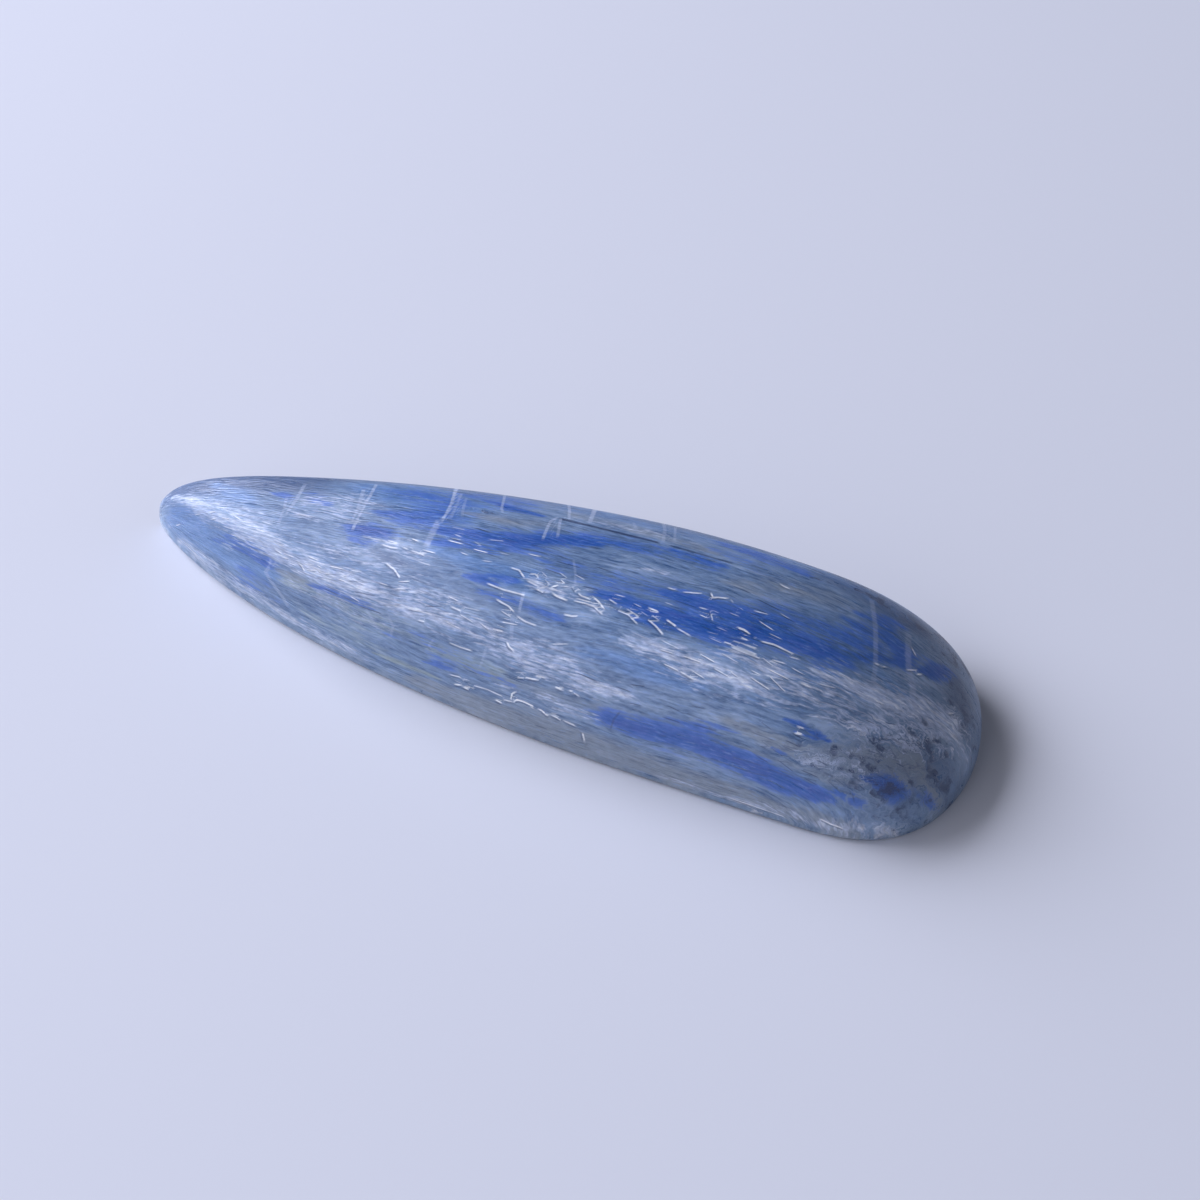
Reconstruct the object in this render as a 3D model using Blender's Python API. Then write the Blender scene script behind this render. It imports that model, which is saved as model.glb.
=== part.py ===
"""A polished kyanite cabochon: one long, hand-cut teardrop of stone with a flat back.

The frame is +Z up in metres. The stone lies on its back at z = 0, with its point towards -X,
its round end towards +X, and the origin under the middle of its bounding box.
"""

import math

import bmesh
import bpy

MM = 0.001

# Driving dimensions of the stone
LENGTH = 52.0 * MM
HALF_WIDTH = 7.6 * MM
HEIGHT = 8.6 * MM
GIRDLE_HEIGHT = 0.65 * MM
BACK_BEVEL = 0.35 * MM

# Worn bevel round the back: shares of BACK_BEVEL, inwards and upwards, from the flat to the girdle
BEVEL_STEPS = ((1.0, 0.0), (0.30, 0.42), (0.0, 1.1))

# Plan outline, measured from the point along the length
WIDEST_AT = 42.4 * MM
NEAR_FLANK = {"bow": 2.70, "point": 1.28, "end": 3.45}
FAR_FLANK = {"bow": 2.05, "point": 1.08, "end": 3.70}

# Dome: rings are copies of the outline, shrunk towards a summit point
SUMMIT_AT = 31.0 * MM
FALL_TO_ROUND_END = 0.27
SHOULDER_OUT = 3.35
SHOULDER_UP = 2.05

# Point: a top face, tilted to the near side, meets a steep near flank in a soft ridge
TOP_FACE_HEIGHT = 7.15 * MM
TOP_FACE_OUT = 5.2
TOP_FACE_UP = 1.84
TOP_FACE_TILT = 0.24
NEAR_FLANK_RISE = 7.0
FAR_SIDE_FALL = 1.05
RIDGE_ROUNDING = 0.45 * MM
RIDGE_FADES_FROM = 7.0 * MM
RIDGE_GONE_AT = 24.0 * MM

# Fineness of the faceted solid
OUTLINE_POINTS = 124
DOME_RINGS = 21
FINE_STEPS = 900
SMOOTH_BELOW = math.radians(35.0)

STONE_BLUE = (0.135, 0.215, 0.430, 1.0)
STONE_ROUGHNESS = 0.28


def half_width(along, flank):
    """Half width of the outline at a distance from the point, on one flank."""
    if along < WIDEST_AT:
        swell = 1.0 - (1.0 - along / WIDEST_AT) ** flank["bow"]
        return HALF_WIDTH * swell ** (1.0 / flank["point"])
    past = (along - WIDEST_AT) / (LENGTH - WIDEST_AT)
    return HALF_WIDTH * math.sqrt(max(0.0, 1.0 - past ** flank["end"]))


def fine_outline():
    """The whole outline as many close points, counter-clockwise seen from above, from the point."""
    steps = [LENGTH * (1.0 - math.cos(math.pi * i / FINE_STEPS)) / 2.0 for i in range(FINE_STEPS + 1)]
    near = [(t - LENGTH / 2.0, -half_width(t, NEAR_FLANK)) for t in steps]
    far = [(t - LENGTH / 2.0, half_width(t, FAR_FLANK)) for t in reversed(steps)]
    return near + far[1:-1]


def even_outline(count):
    """The outline as a number of points, evenly spaced along its length."""
    line = fine_outline()
    closed = line + line[:1]
    lengths = [0.0]
    for a, b in zip(closed, closed[1:]):
        lengths.append(lengths[-1] + math.dist(a, b))
    points = []
    i = 0
    for k in range(count):
        wanted = lengths[-1] * k / count
        while lengths[i + 1] < wanted:
            i += 1
        part = (wanted - lengths[i]) / (lengths[i + 1] - lengths[i])
        a, b = closed[i], closed[i + 1]
        points.append((a[0] + (b[0] - a[0]) * part, a[1] + (b[1] - a[1]) * part))
    return points


def crest_height(x):
    """Height of the dome's crest, which sinks a little towards the round end."""
    summit_x = SUMMIT_AT - LENGTH / 2.0
    past = max(0.0, x - summit_x) / (LENGTH / 2.0 - summit_x)
    return HEIGHT * (1.0 - FALL_TO_ROUND_END * past**2)


def plain_rise(x, out):
    """Height of the plain dome over the girdle, at a share of the way out from the summit."""
    up = (1.0 - out**SHOULDER_OUT) ** (1.0 / SHOULDER_UP)
    return (crest_height(x) - GIRDLE_HEIGHT) * up


def soft_lower(a, b, rounding):
    """The lower of two heights, with the corner where they cross rounded off."""
    overlap = max(0.0, rounding - abs(a - b))
    return min(a, b) - overlap**2 / (4.0 * rounding)


def ridged_rise(x, y, plain):
    """Height over the girdle by the point, where the top face meets the near flank in a ridge."""
    along = x + LENGTH / 2.0
    if along >= RIDGE_GONE_AT:
        return plain
    out = min(1.0, (SUMMIT_AT - along) / SUMMIT_AT)
    top_face = TOP_FACE_HEIGHT * (1.0 - out**TOP_FACE_OUT) ** (1.0 / TOP_FACE_UP) + TOP_FACE_TILT * y
    near_flank = NEAR_FLANK_RISE * (half_width(along, NEAR_FLANK) + y)
    far_side = plain if y > 0.0 else plain_rise(x, out) - FAR_SIDE_FALL * y
    ridged = soft_lower(soft_lower(top_face, far_side, RIDGE_ROUNDING), near_flank, RIDGE_ROUNDING)
    ridged = max(0.0, ridged)
    faded = max(0.0, (along - RIDGE_FADES_FROM) / (RIDGE_GONE_AT - RIDGE_FADES_FROM))
    faded = faded * faded * (3.0 - 2.0 * faded)
    return ridged + (plain - ridged) * faded


def dome_ring(outline, angle):
    """One ring of the dome. The angle runs from a quarter turn at the girdle to 0 at the summit."""
    out = math.sin(angle) ** (2.0 / SHOULDER_OUT)
    summit_x = SUMMIT_AT - LENGTH / 2.0
    ring = []
    for x, y in outline:
        ring_x = summit_x + out * (x - summit_x)
        ring_y = out * y
        rise = ridged_rise(ring_x, ring_y, plain_rise(ring_x, out))
        ring.append((ring_x, ring_y, GIRDLE_HEIGHT + rise))
    return ring


def inset_ring(outline, inset, height):
    """The outline moved inwards by a distance, at one height."""
    count = len(outline)
    ring = []
    for i, (x, y) in enumerate(outline):
        before, after = outline[i - 1], outline[(i + 1) % count]
        run_x, run_y = after[0] - before[0], after[1] - before[1]
        run = math.hypot(run_x, run_y)
        ring.append((x - inset * run_y / run, y + inset * run_x / run, height))
    return ring


def stone_rings(outline):
    """Every ring of the stone, from the rim of its flat back up to the last one round the summit."""
    rings = [inset_ring(outline, BACK_BEVEL * inwards, BACK_BEVEL * up) for inwards, up in BEVEL_STEPS]
    for k in range(DOME_RINGS):
        rings.append(dome_ring(outline, math.pi / 2.0 * (1.0 - k / DOME_RINGS)))
    return rings


def add_loop(bm, points):
    """Adds a closed loop of edges through points and returns its edges."""
    verts = [bm.verts.new(p) for p in points]
    return [bm.edges.new((a, b)) for a, b in zip(verts, verts[1:] + verts[:1])]


def make_stone_mesh():
    """Bridges the rings into one closed skin, with a flat back and a capped summit."""
    outline = even_outline(OUTLINE_POINTS)
    xs = [x for x, y in outline]
    ys = [y for x, y in outline]
    mid_x = (min(xs) + max(xs)) / 2.0
    mid_y = (min(ys) + max(ys)) / 2.0
    bm = bmesh.new()
    loops = []
    for ring in stone_rings(outline):
        loops.append(add_loop(bm, [(x - mid_x, y - mid_y, z) for x, y, z in ring]))
    for lower, upper in zip(loops, loops[1:]):
        bmesh.ops.bridge_loops(bm, edges=lower + upper)
    bmesh.ops.contextual_create(bm, geom=loops[0])
    summit = bmesh.ops.contextual_create(bm, geom=loops[-1])["faces"]
    bmesh.ops.poke(bm, faces=summit)
    bmesh.ops.recalc_face_normals(bm, faces=bm.faces)
    mesh = bpy.data.meshes.new("kyanite_cabochon")
    bm.to_mesh(mesh)
    bm.free()
    return mesh


def polished_kyanite():
    """Material of the stone: mid steel blue under a soft polish."""
    material = bpy.data.materials.new("polished_kyanite")
    material.use_nodes = True
    shader = material.node_tree.nodes["Principled BSDF"]
    shader.inputs["Base Color"].default_value = STONE_BLUE
    shader.inputs["Roughness"].default_value = STONE_ROUGHNESS
    shader.inputs["Metallic"].default_value = 0.0
    return material


def main():
    """Clears the scene and makes the stone."""
    for old in list(bpy.data.objects):
        bpy.data.objects.remove(old)
    mesh = make_stone_mesh()
    mesh.materials.append(polished_kyanite())
    mesh.shade_smooth()
    mesh.set_sharp_from_angle(angle=SMOOTH_BELOW)
    stone = bpy.data.objects.new("kyanite_cabochon", mesh)
    bpy.context.scene.collection.objects.link(stone)


main()
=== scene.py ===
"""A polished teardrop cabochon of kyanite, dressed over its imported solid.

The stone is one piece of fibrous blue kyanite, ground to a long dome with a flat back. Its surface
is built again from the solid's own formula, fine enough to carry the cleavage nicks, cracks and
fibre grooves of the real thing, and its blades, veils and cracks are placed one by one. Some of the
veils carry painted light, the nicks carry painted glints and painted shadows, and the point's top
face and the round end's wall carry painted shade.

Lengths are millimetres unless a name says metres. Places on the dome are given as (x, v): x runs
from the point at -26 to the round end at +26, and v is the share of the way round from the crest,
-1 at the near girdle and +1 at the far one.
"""

import logging
import math
from collections.abc import Mapping
from collections.abc import Sequence
from dataclasses import dataclass
from dataclasses import field
from enum import Enum

import bpy
import numpy as np
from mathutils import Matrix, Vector
from mathutils import noise


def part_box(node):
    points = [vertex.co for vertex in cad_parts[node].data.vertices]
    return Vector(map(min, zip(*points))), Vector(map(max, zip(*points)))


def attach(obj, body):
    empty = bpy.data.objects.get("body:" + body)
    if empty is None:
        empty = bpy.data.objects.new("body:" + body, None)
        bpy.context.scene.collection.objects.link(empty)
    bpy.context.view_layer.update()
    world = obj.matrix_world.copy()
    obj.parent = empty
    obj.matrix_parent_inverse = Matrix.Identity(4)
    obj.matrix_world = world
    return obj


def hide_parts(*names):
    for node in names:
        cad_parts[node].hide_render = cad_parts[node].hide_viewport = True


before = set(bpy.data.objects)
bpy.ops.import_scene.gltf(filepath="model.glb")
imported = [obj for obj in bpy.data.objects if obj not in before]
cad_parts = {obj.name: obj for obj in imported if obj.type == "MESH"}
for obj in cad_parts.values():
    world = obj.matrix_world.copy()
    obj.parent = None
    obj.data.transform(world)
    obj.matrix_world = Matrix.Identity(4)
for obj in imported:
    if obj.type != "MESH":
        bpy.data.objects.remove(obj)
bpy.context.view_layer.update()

MM = 0.001
STONE_NODE = "kyanite_cabochon"

log = logging.getLogger("kyanite_cabochon")

Colour = tuple[float, float, float, float]
Spot = tuple[float, float, float]


def linear(hex_code: str) -> Colour:
    """Turns an sRGB hex colour into the linear colour that a shader takes.

    Args:
        hex_code: six hex digits after a hash sign.

    Returns:
        Linear red, green, blue and an alpha of one.
    """
    channels = [int(hex_code[i : i + 2], 16) / 255.0 for i in (1, 3, 5)]
    red, green, blue = [c / 12.92 if c <= 0.04045 else ((c + 0.055) / 1.055) ** 2.4 for c in channels]
    return (red, green, blue, 1.0)


def smooth_step(low: float, high: float, values: np.ndarray) -> np.ndarray:
    """Eases from 0 at low to 1 at high.

    Args:
        low: value where the step starts.
        high: value where it ends.
        values: numbers to ease.

    Returns:
        The eased numbers, 0 to 1.
    """
    share = np.clip((values - low) / (high - low), 0.0, 1.0)
    return share * share * (3.0 - 2.0 * share)


def add_node(
    tree: bpy.types.NodeTree,
    kind: str,
    settings: Mapping[str, object] | None = None,
    inputs: Mapping[str | int, object] | None = None,
) -> bpy.types.Node:
    """Adds a node with its settings, and sets or links its inputs.

    Args:
        tree: node tree that gets the node.
        kind: Blender's name for the node's type.
        settings: the node's own properties by name.
        inputs: values or output sockets by the input's name or number.

    Returns:
        The new node.
    """
    node = tree.nodes.new(kind)
    for name, value in (settings or {}).items():
        setattr(node, name, value)
    for key, value in (inputs or {}).items():
        if isinstance(value, bpy.types.NodeSocket):
            tree.links.new(value, node.inputs[key])
        else:
            node.inputs[key].default_value = value
    return node


class Tint(Enum):
    """What a patch inside the stone does to its colour."""

    ROYAL = "royal"
    AZURE = "azure"
    DEEP = "deep"
    VEIL_AND_PAINTED_LIGHT = "veil_and_painted_light"
    GREY = "grey"
    SAGE = "sage"
    SLATE = "slate"


class Side(Enum):
    """Which surface of the stone a patch shows on."""

    DOME = "dome"
    BACK = "back"


@dataclass(frozen=True)
class Patch:
    """One blade, band or cloud of colour, or a patch of painted light or shade, drawn as a brush stroke over the stone.

    Attributes:
        tint: what it does to the colour.
        strength: how strongly, 0 to 1.
        path: the stroke's points as (x, v, half width), the half width in millimetres.
        side: the surface it shows on; on the back, v is the share of the half width.
    """

    tint: Tint
    strength: float
    path: tuple[Spot, ...]
    side: Side = Side.DOME


@dataclass(frozen=True)
class Line:
    """A crack, a parting between blades, or a nick, drawn as a fine line on the dome.

    Attributes:
        half_width: half of the line's width in millimetres.
        strength: how plainly it shows, 0 to 1.
        path: its points as (x, v).
    """

    half_width: float
    strength: float
    path: tuple[tuple[float, float], ...]


@dataclass(frozen=True)
class LineSwarm:
    """Many small nicks or dark fibres that lie close together.

    Attributes:
        middle: the swarm's middle as (x, v).
        spread: how far it reaches each way, along the stone and round it, in millimetres.
        count: number of lines.
        longest: length of the longest line in millimetres.
        slope: how far the lines run round the stone for each millimetre along it.
        seed: seed of the random draws.
    """

    middle: tuple[float, float]
    spread: tuple[float, float]
    count: int
    longest: float
    slope: float
    seed: int


@dataclass(frozen=True)
class Flank:
    """How one long side of the outline swells from the point and closes at the round end."""

    bow: float
    point: float
    end: float


@dataclass(frozen=True)
class PointFaces:
    """The cut of the point, where a top face meets a steep near flank in a soft ridge.

    Attributes:
        top_height: height over the girdle that the top face would have under the summit.
        top_out: exponent of the top face's fall towards the point, level.
        top_up: exponent of that fall, upright.
        top_tilt: fall of the top face for each length towards the near side.
        near_rise: rise of the near flank for each length inwards.
        far_fall: fall of the far side for each length outwards, beside the crest.
        rounding: height over which two faces round into one another.
        fades_from: distance from the point where the faces begin to melt into the dome.
        gone_at: distance from the point where they have.
    """

    top_height: float = 6.75
    top_out: float = 5.2
    top_up: float = 1.84
    top_tilt: float = 0.06
    near_rise: float = 7.0
    far_fall: float = 1.05
    rounding: float = 0.45
    fades_from: float = 7.0
    gone_at: float = 24.0

    def soft_lower(self, first: np.ndarray, second: np.ndarray) -> np.ndarray:
        """The lower of two faces' heights, with the corner where they cross rounded off."""
        overlap = np.maximum(0.0, self.rounding - np.abs(first - second))
        return np.minimum(first, second) - overlap**2 / (4.0 * self.rounding)


@dataclass
class TeardropForm:
    """The polished form of the stone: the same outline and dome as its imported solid.

    Attributes:
        length: length of the stone.
        half_width: half of its greatest width.
        height: height of the dome's summit.
        girdle_height: height of the widest line, where the dome starts.
        bevel: width of the worn bevel round the back.
        bevel_top: height at which that bevel meets the side.
        bevel_roundness: exponent of the bevel's rounded profile.
        widest_at: distance from the point to the widest place.
        summit_at: distance from the point to the summit.
        fall_to_round_end: share of the height that the crest loses towards the round end.
        shoulder_out: exponent of the dome's shoulder, level.
        shoulder_up: exponent of the dome's shoulder, upright.
        near_flank: outline on the near side.
        far_flank: outline on the far side.
        point_faces: the cut of the point.
    """

    length: float
    half_width: float
    height: float
    girdle_height: float = 0.65
    bevel: float = 0.35
    bevel_top: float = 0.385
    bevel_roundness: float = 2.7
    widest_at: float = 42.4
    summit_at: float = 31.0
    fall_to_round_end: float = 0.27
    shoulder_out: float = 3.35
    shoulder_up: float = 2.05
    near_flank: Flank = Flank(bow=2.70, point=1.28, end=3.45)
    far_flank: Flank = Flank(bow=2.05, point=1.08, end=3.70)
    point_faces: PointFaces = PointFaces()
    turns: np.ndarray = field(init=False)
    rims: np.ndarray = field(init=False)
    reaches: np.ndarray = field(init=False)

    def __post_init__(self) -> None:
        """Tabulates the outline as seen from under the summit."""
        along = self.length * (1.0 - np.cos(np.pi * np.arange(2001) / 2000.0)) / 2.0
        near = np.stack([along, -self.flank_width(along, self.near_flank)], axis=1)
        far = np.stack([along, self.flank_width(along, self.far_flank)], axis=1)[::-1]
        line = np.concatenate([near, far[1:-1]]) - (self.summit_at, 0.0)
        run = np.roll(line, -1, axis=0) - np.roll(line, 1, axis=0)
        outward = np.stack([run[:, 1], -run[:, 0]], axis=1)
        outward /= np.linalg.norm(outward, axis=1, keepdims=True)
        turns = np.arctan2(line[:, 1], line[:, 0])
        order = np.argsort(turns)
        self.turns = turns[order]
        self.rims = np.linalg.norm(line, axis=1)[order]
        self.reaches = np.sum(line * outward, axis=1)[order]

    @property
    def summit_x(self) -> float:
        """Place of the summit along the stone."""
        return self.summit_at - self.length / 2.0

    def flank_width(self, along: np.ndarray, flank: Flank) -> np.ndarray:
        """Half width of the outline on one side.

        Args:
            along: distances from the point.
            flank: the side's curve.

        Returns:
            The half widths there.
        """
        early = np.minimum(along, self.widest_at) / self.widest_at
        swell = self.half_width * (1.0 - (1.0 - early) ** flank.bow) ** (1.0 / flank.point)
        past = np.clip((along - self.widest_at) / (self.length - self.widest_at), 0.0, 1.0)
        return np.where(along < self.widest_at, swell, self.half_width * np.sqrt(1.0 - past**flank.end))

    def share_out(self, x: np.ndarray, y: np.ndarray) -> np.ndarray:
        """How far out each plan point lies, from 0 under the summit to 1 on the outline."""
        rim = np.interp(np.arctan2(y, x - self.summit_x), self.turns, self.rims, period=2.0 * np.pi)
        return np.clip(np.hypot(x - self.summit_x, y) / rim, 0.0, 1.0)

    def plain_rise(self, x: np.ndarray, out: np.ndarray) -> np.ndarray:
        """Height of the plain dome over the girdle.

        Args:
            x: places along the stone.
            out: shares of the way out from the summit to the outline.

        Returns:
            The heights there.
        """
        past = np.clip((x - self.summit_x) / (self.length / 2.0 - self.summit_x), 0.0, 1.0)
        rise = self.height * (1.0 - self.fall_to_round_end * past**2) - self.girdle_height
        return rise * (1.0 - out**self.shoulder_out) ** (1.0 / self.shoulder_up)

    def dome_height(self, x: np.ndarray, y: np.ndarray) -> np.ndarray:
        """Height of the polished dome over each plan point, with the cut of its point."""
        plain = self.plain_rise(x, self.share_out(x, y))
        along = x + self.length / 2.0
        out = np.clip((self.summit_at - along) / self.summit_at, 0.0, 1.0)
        cut = self.point_faces
        top_face = cut.top_height * (1.0 - out**cut.top_out) ** (1.0 / cut.top_up) + cut.top_tilt * y
        near_flank = cut.near_rise * (self.flank_width(along, self.near_flank) + y)
        far_side = np.where(y > 0.0, plain, self.plain_rise(x, out) - cut.far_fall * y)
        ridged = cut.soft_lower(cut.soft_lower(top_face, far_side), near_flank)
        melted = smooth_step(cut.fades_from, cut.gone_at, along)
        return self.girdle_height + np.maximum(0.0, ridged) * (1.0 - melted) + plain * melted

    def underside_height(self, x: np.ndarray, y: np.ndarray) -> np.ndarray:
        """Height of the back over each plan point: flat, with a rounded bevel at its rim."""
        reach = np.interp(np.arctan2(y, x - self.summit_x), self.turns, self.reaches, period=2.0 * np.pi)
        inwards = (1.0 - self.share_out(x, y)) * reach
        rounding = 1.0 - np.clip(inwards / self.bevel, 0.0, 1.0)
        return self.bevel_top * rounding**self.bevel_roundness


@dataclass
class StoneSkin:
    """The stone's fine surface, as closed loops round it, one after another along its length.

    Attributes:
        form: the form that it follows.
        loop_count: number of loops along the length.
        dome_steps: steps of a loop over the dome.
        back_steps: steps of a loop across the back.
        end_gap: distance left between the first or last loop and the end of the stone.
        rim_share: share of the back's half width, at its rim, that is coloured like the dome.
    """

    form: TeardropForm
    loop_count: int = 470
    dome_steps: int = 152
    back_steps: int = 40
    end_gap: float = 0.012
    rim_share: float = 0.04
    points: np.ndarray = field(init=False)
    places: np.ndarray = field(init=False)
    charts: np.ndarray = field(init=False)
    on_back: np.ndarray = field(init=False)
    girths: np.ndarray = field(init=False)
    loop_size: int = field(init=False)

    def __post_init__(self) -> None:
        """Lays out every loop, then closes both ends with one point each."""
        loops = [self.loop(x, run) for x, run in zip(*self.stations())]
        self.loop_size = len(loops[0][0])
        self.points = self.with_ends([loop[0] for loop in loops])
        self.places = self.with_ends([loop[1] for loop in loops])
        self.charts = self.with_ends([loop[2] for loop in loops])
        self.on_back = self.with_ends([loop[3] for loop in loops])[:, 0]
        self.girths = self.with_ends([loop[4] for loop in loops])[:, 0]

    @staticmethod
    def with_ends(loops: Sequence[np.ndarray]) -> np.ndarray:
        """Joins the loops' values and adds the mean of the first and of the last loop."""
        ends = [loops[0].mean(axis=0, keepdims=True), loops[-1].mean(axis=0, keepdims=True)]
        return np.concatenate([*loops, *ends])

    def stations(self) -> tuple[np.ndarray, np.ndarray]:
        """Places of the loops, evenly spaced along the crest.

        Returns:
            The places along the length, and the crest's own length up to each, from the middle.
        """
        half = self.form.length / 2.0 - self.end_gap
        turn = np.linspace(-np.pi / 2.0, np.pi / 2.0, 4001)
        x = half * np.sin(turn)
        z = self.form.dome_height(x, np.zeros_like(x))
        run = np.concatenate([[0.0], np.cumsum(np.hypot(np.diff(x), np.diff(z)))])
        wanted = np.linspace(0.0, run[-1], self.loop_count)
        return np.interp(wanted, run, x), wanted - np.interp(0.0, x, run)

    def loop(self, x: float, run: float) -> tuple[np.ndarray, ...]:
        """One closed loop, from the near girdle over the dome and back under the stone.

        Args:
            x: the loop's place along the stone.
            run: the crest's length up to there.

        Returns:
            Points (x, y, z); places (x, v); chart places in millimetres along the crest and round
            from it; 1 for a point below the girdle, else 0; and the way from crest to girdle.
        """
        along = np.array([x + self.form.length / 2.0])
        near = float(self.form.flank_width(along, self.form.near_flank)[0])
        far = float(self.form.flank_width(along, self.form.far_flank)[0])
        turn = np.linspace(-np.pi / 2.0, np.pi / 2.0, 1201)
        fine_y = np.where(turn < 0.0, near, far) * np.sin(turn)
        fine_z = self.form.dome_height(np.full_like(fine_y, x), fine_y)
        fine_run = np.concatenate([[0.0], np.cumsum(np.hypot(np.diff(fine_y), np.diff(fine_z)))])
        crest = fine_run[600]
        girth = np.where(fine_run < crest, crest, fine_run[-1] - crest)
        dome_run = np.linspace(0.0, fine_run[-1], self.dome_steps + 1)
        dome_y = np.interp(dome_run, fine_run, fine_y)
        dome_z = np.interp(dome_run, fine_run, fine_z)
        dome_v = np.interp(dome_run, fine_run, (fine_run - crest) / girth)

        across = np.linspace(1.0, -1.0, self.back_steps + 1)
        share = np.sign(across) * (1.0 - (1.0 - np.abs(across)) ** 1.6)
        back_y = np.where(share < 0.0, near, far) * share
        back_z = self.form.underside_height(np.full_like(back_y, x), back_y)
        side_z = (self.form.girdle_height + self.form.bevel_top) / 2.0
        y = np.concatenate([dome_y, [far], back_y, [-near]])
        z = np.concatenate([dome_z, [side_z], back_z, [side_z]])
        v = np.concatenate([dome_v, [1.0], share, [-1.0]])
        rim = np.abs(share) > 1.0 - self.rim_share
        below = np.concatenate([np.zeros_like(dome_y), [0.0], np.where(rim, 0.0, 1.0), [0.0]])
        level = np.full_like(y, x)
        edge = np.where(share < 0.0, -crest, fine_run[-1] - crest)
        back_run = np.where(rim, edge, back_y)
        round_run = np.concatenate([dome_run - crest, [fine_run[-1] - crest], back_run, [-crest]])
        charts = np.stack([np.where(below > 0.5, x, run), round_run], axis=1)
        girths = np.where(v < 0.0, crest, fine_run[-1] - crest)
        points = np.stack([level, y, z], axis=1)
        return points, np.stack([level, v], axis=1), charts, below[:, None], girths[:, None]

    def faces(self) -> list[tuple[int, ...]]:
        """Quads between the loops, and a fan of triangles at each end."""
        size = self.loop_size
        quads = [
            (i * size + k, (i + 1) * size + k, (i + 1) * size + (k + 1) % size, i * size + (k + 1) % size)
            for i in range(self.loop_count - 1)
            for k in range(size)
        ]
        first = self.loop_count * size
        last_loop = (self.loop_count - 1) * size
        point_fan = [(first, k, (k + 1) % size) for k in range(size)]
        round_fan = [(first + 1, last_loop + (k + 1) % size, last_loop + k) for k in range(size)]
        return quads + point_fan + round_fan

    def chart_place(self, x: float, v: float) -> tuple[float, float]:
        """Turns a place (x, v) on the dome into chart millimetres."""
        size = self.loop_size
        loop_xs = self.points[: self.loop_count * size : size, 0]
        i = int(np.argmin(np.abs(loop_xs - x)))
        rows = slice(i * size, i * size + self.dome_steps + 1)
        return (
            float(np.interp(x, loop_xs, self.charts[: self.loop_count * size : size, 0])),
            float(np.interp(v, self.places[rows, 1], self.charts[rows, 1])),
        )

    def back_place(self, x: float, share: float) -> tuple[float, float]:
        """Turns a place on the back, given as x and share of the half width, into millimetres."""
        along = np.array([x + self.form.length / 2.0])
        flank = self.form.near_flank if share < 0.0 else self.form.far_flank
        return x, share * float(self.form.flank_width(along, flank)[0])


def brush_ratios(charts: np.ndarray, path: np.ndarray, squeeze: float) -> np.ndarray:
    """Measures every point of the skin against one brush stroke.

    Args:
        charts: chart places of the points.
        path: the stroke's points as (along, round, half width).
        squeeze: share that lengths along the stone count for, so that strokes end in long tips.

    Returns:
        The distance to the stroke over the stroke's half width.
    """
    flat = charts * (squeeze, 1.0)
    knots = path * (squeeze, 1.0, 1.0)
    ratios = np.full(len(charts), np.inf)
    for start, end in zip(knots[:-1], knots[1:]):
        run = end[:2] - start[:2]
        share = np.clip((flat - start[:2]) @ run / max(float(run @ run), 1e-9), 0.0, 1.0)
        offsets = flat - (start[:2] + share[:, None] * run)
        width = start[2] + share * (end[2] - start[2])
        ratios = np.minimum(ratios, np.hypot(offsets[:, 0], offsets[:, 1]) / width)
    return ratios


def line_offsets(charts: np.ndarray, path: np.ndarray) -> tuple[np.ndarray, np.ndarray, np.ndarray]:
    """Measures every point of the skin against one fine line.

    A signed distance keeps a line crisp that is narrower than the mesh.

    Args:
        charts: chart places of the points.
        path: the line's points as (along, round).

    Returns:
        The distance, the distance across the line with its side as sign, and how far past an end.
    """
    gaps = np.full(len(charts), np.inf)
    across = np.zeros(len(charts))
    beyond = np.zeros(len(charts))
    last = len(path) - 2
    for k, (start, end) in enumerate(zip(path[:-1], path[1:])):
        size = float(np.hypot(*(end - start)))
        run = (end - start) / size
        along = (charts - start) @ run
        side = (charts - start) @ np.array([-run[1], run[0]])
        before = np.maximum(0.0, -along)
        after = np.maximum(0.0, along - size)
        past_end = before * (k == 0) + after * (k == last)
        gap = np.hypot(side, before + after)
        bend = np.where(past_end > 0.0, 0.0, before + after)
        nearer = gap < gaps
        gaps[nearer] = gap[nearer]
        beyond[nearer] = past_end[nearer]
        across[nearer] = np.copysign(np.hypot(side, bend), side)[nearer]
    return gaps, across, beyond


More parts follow.
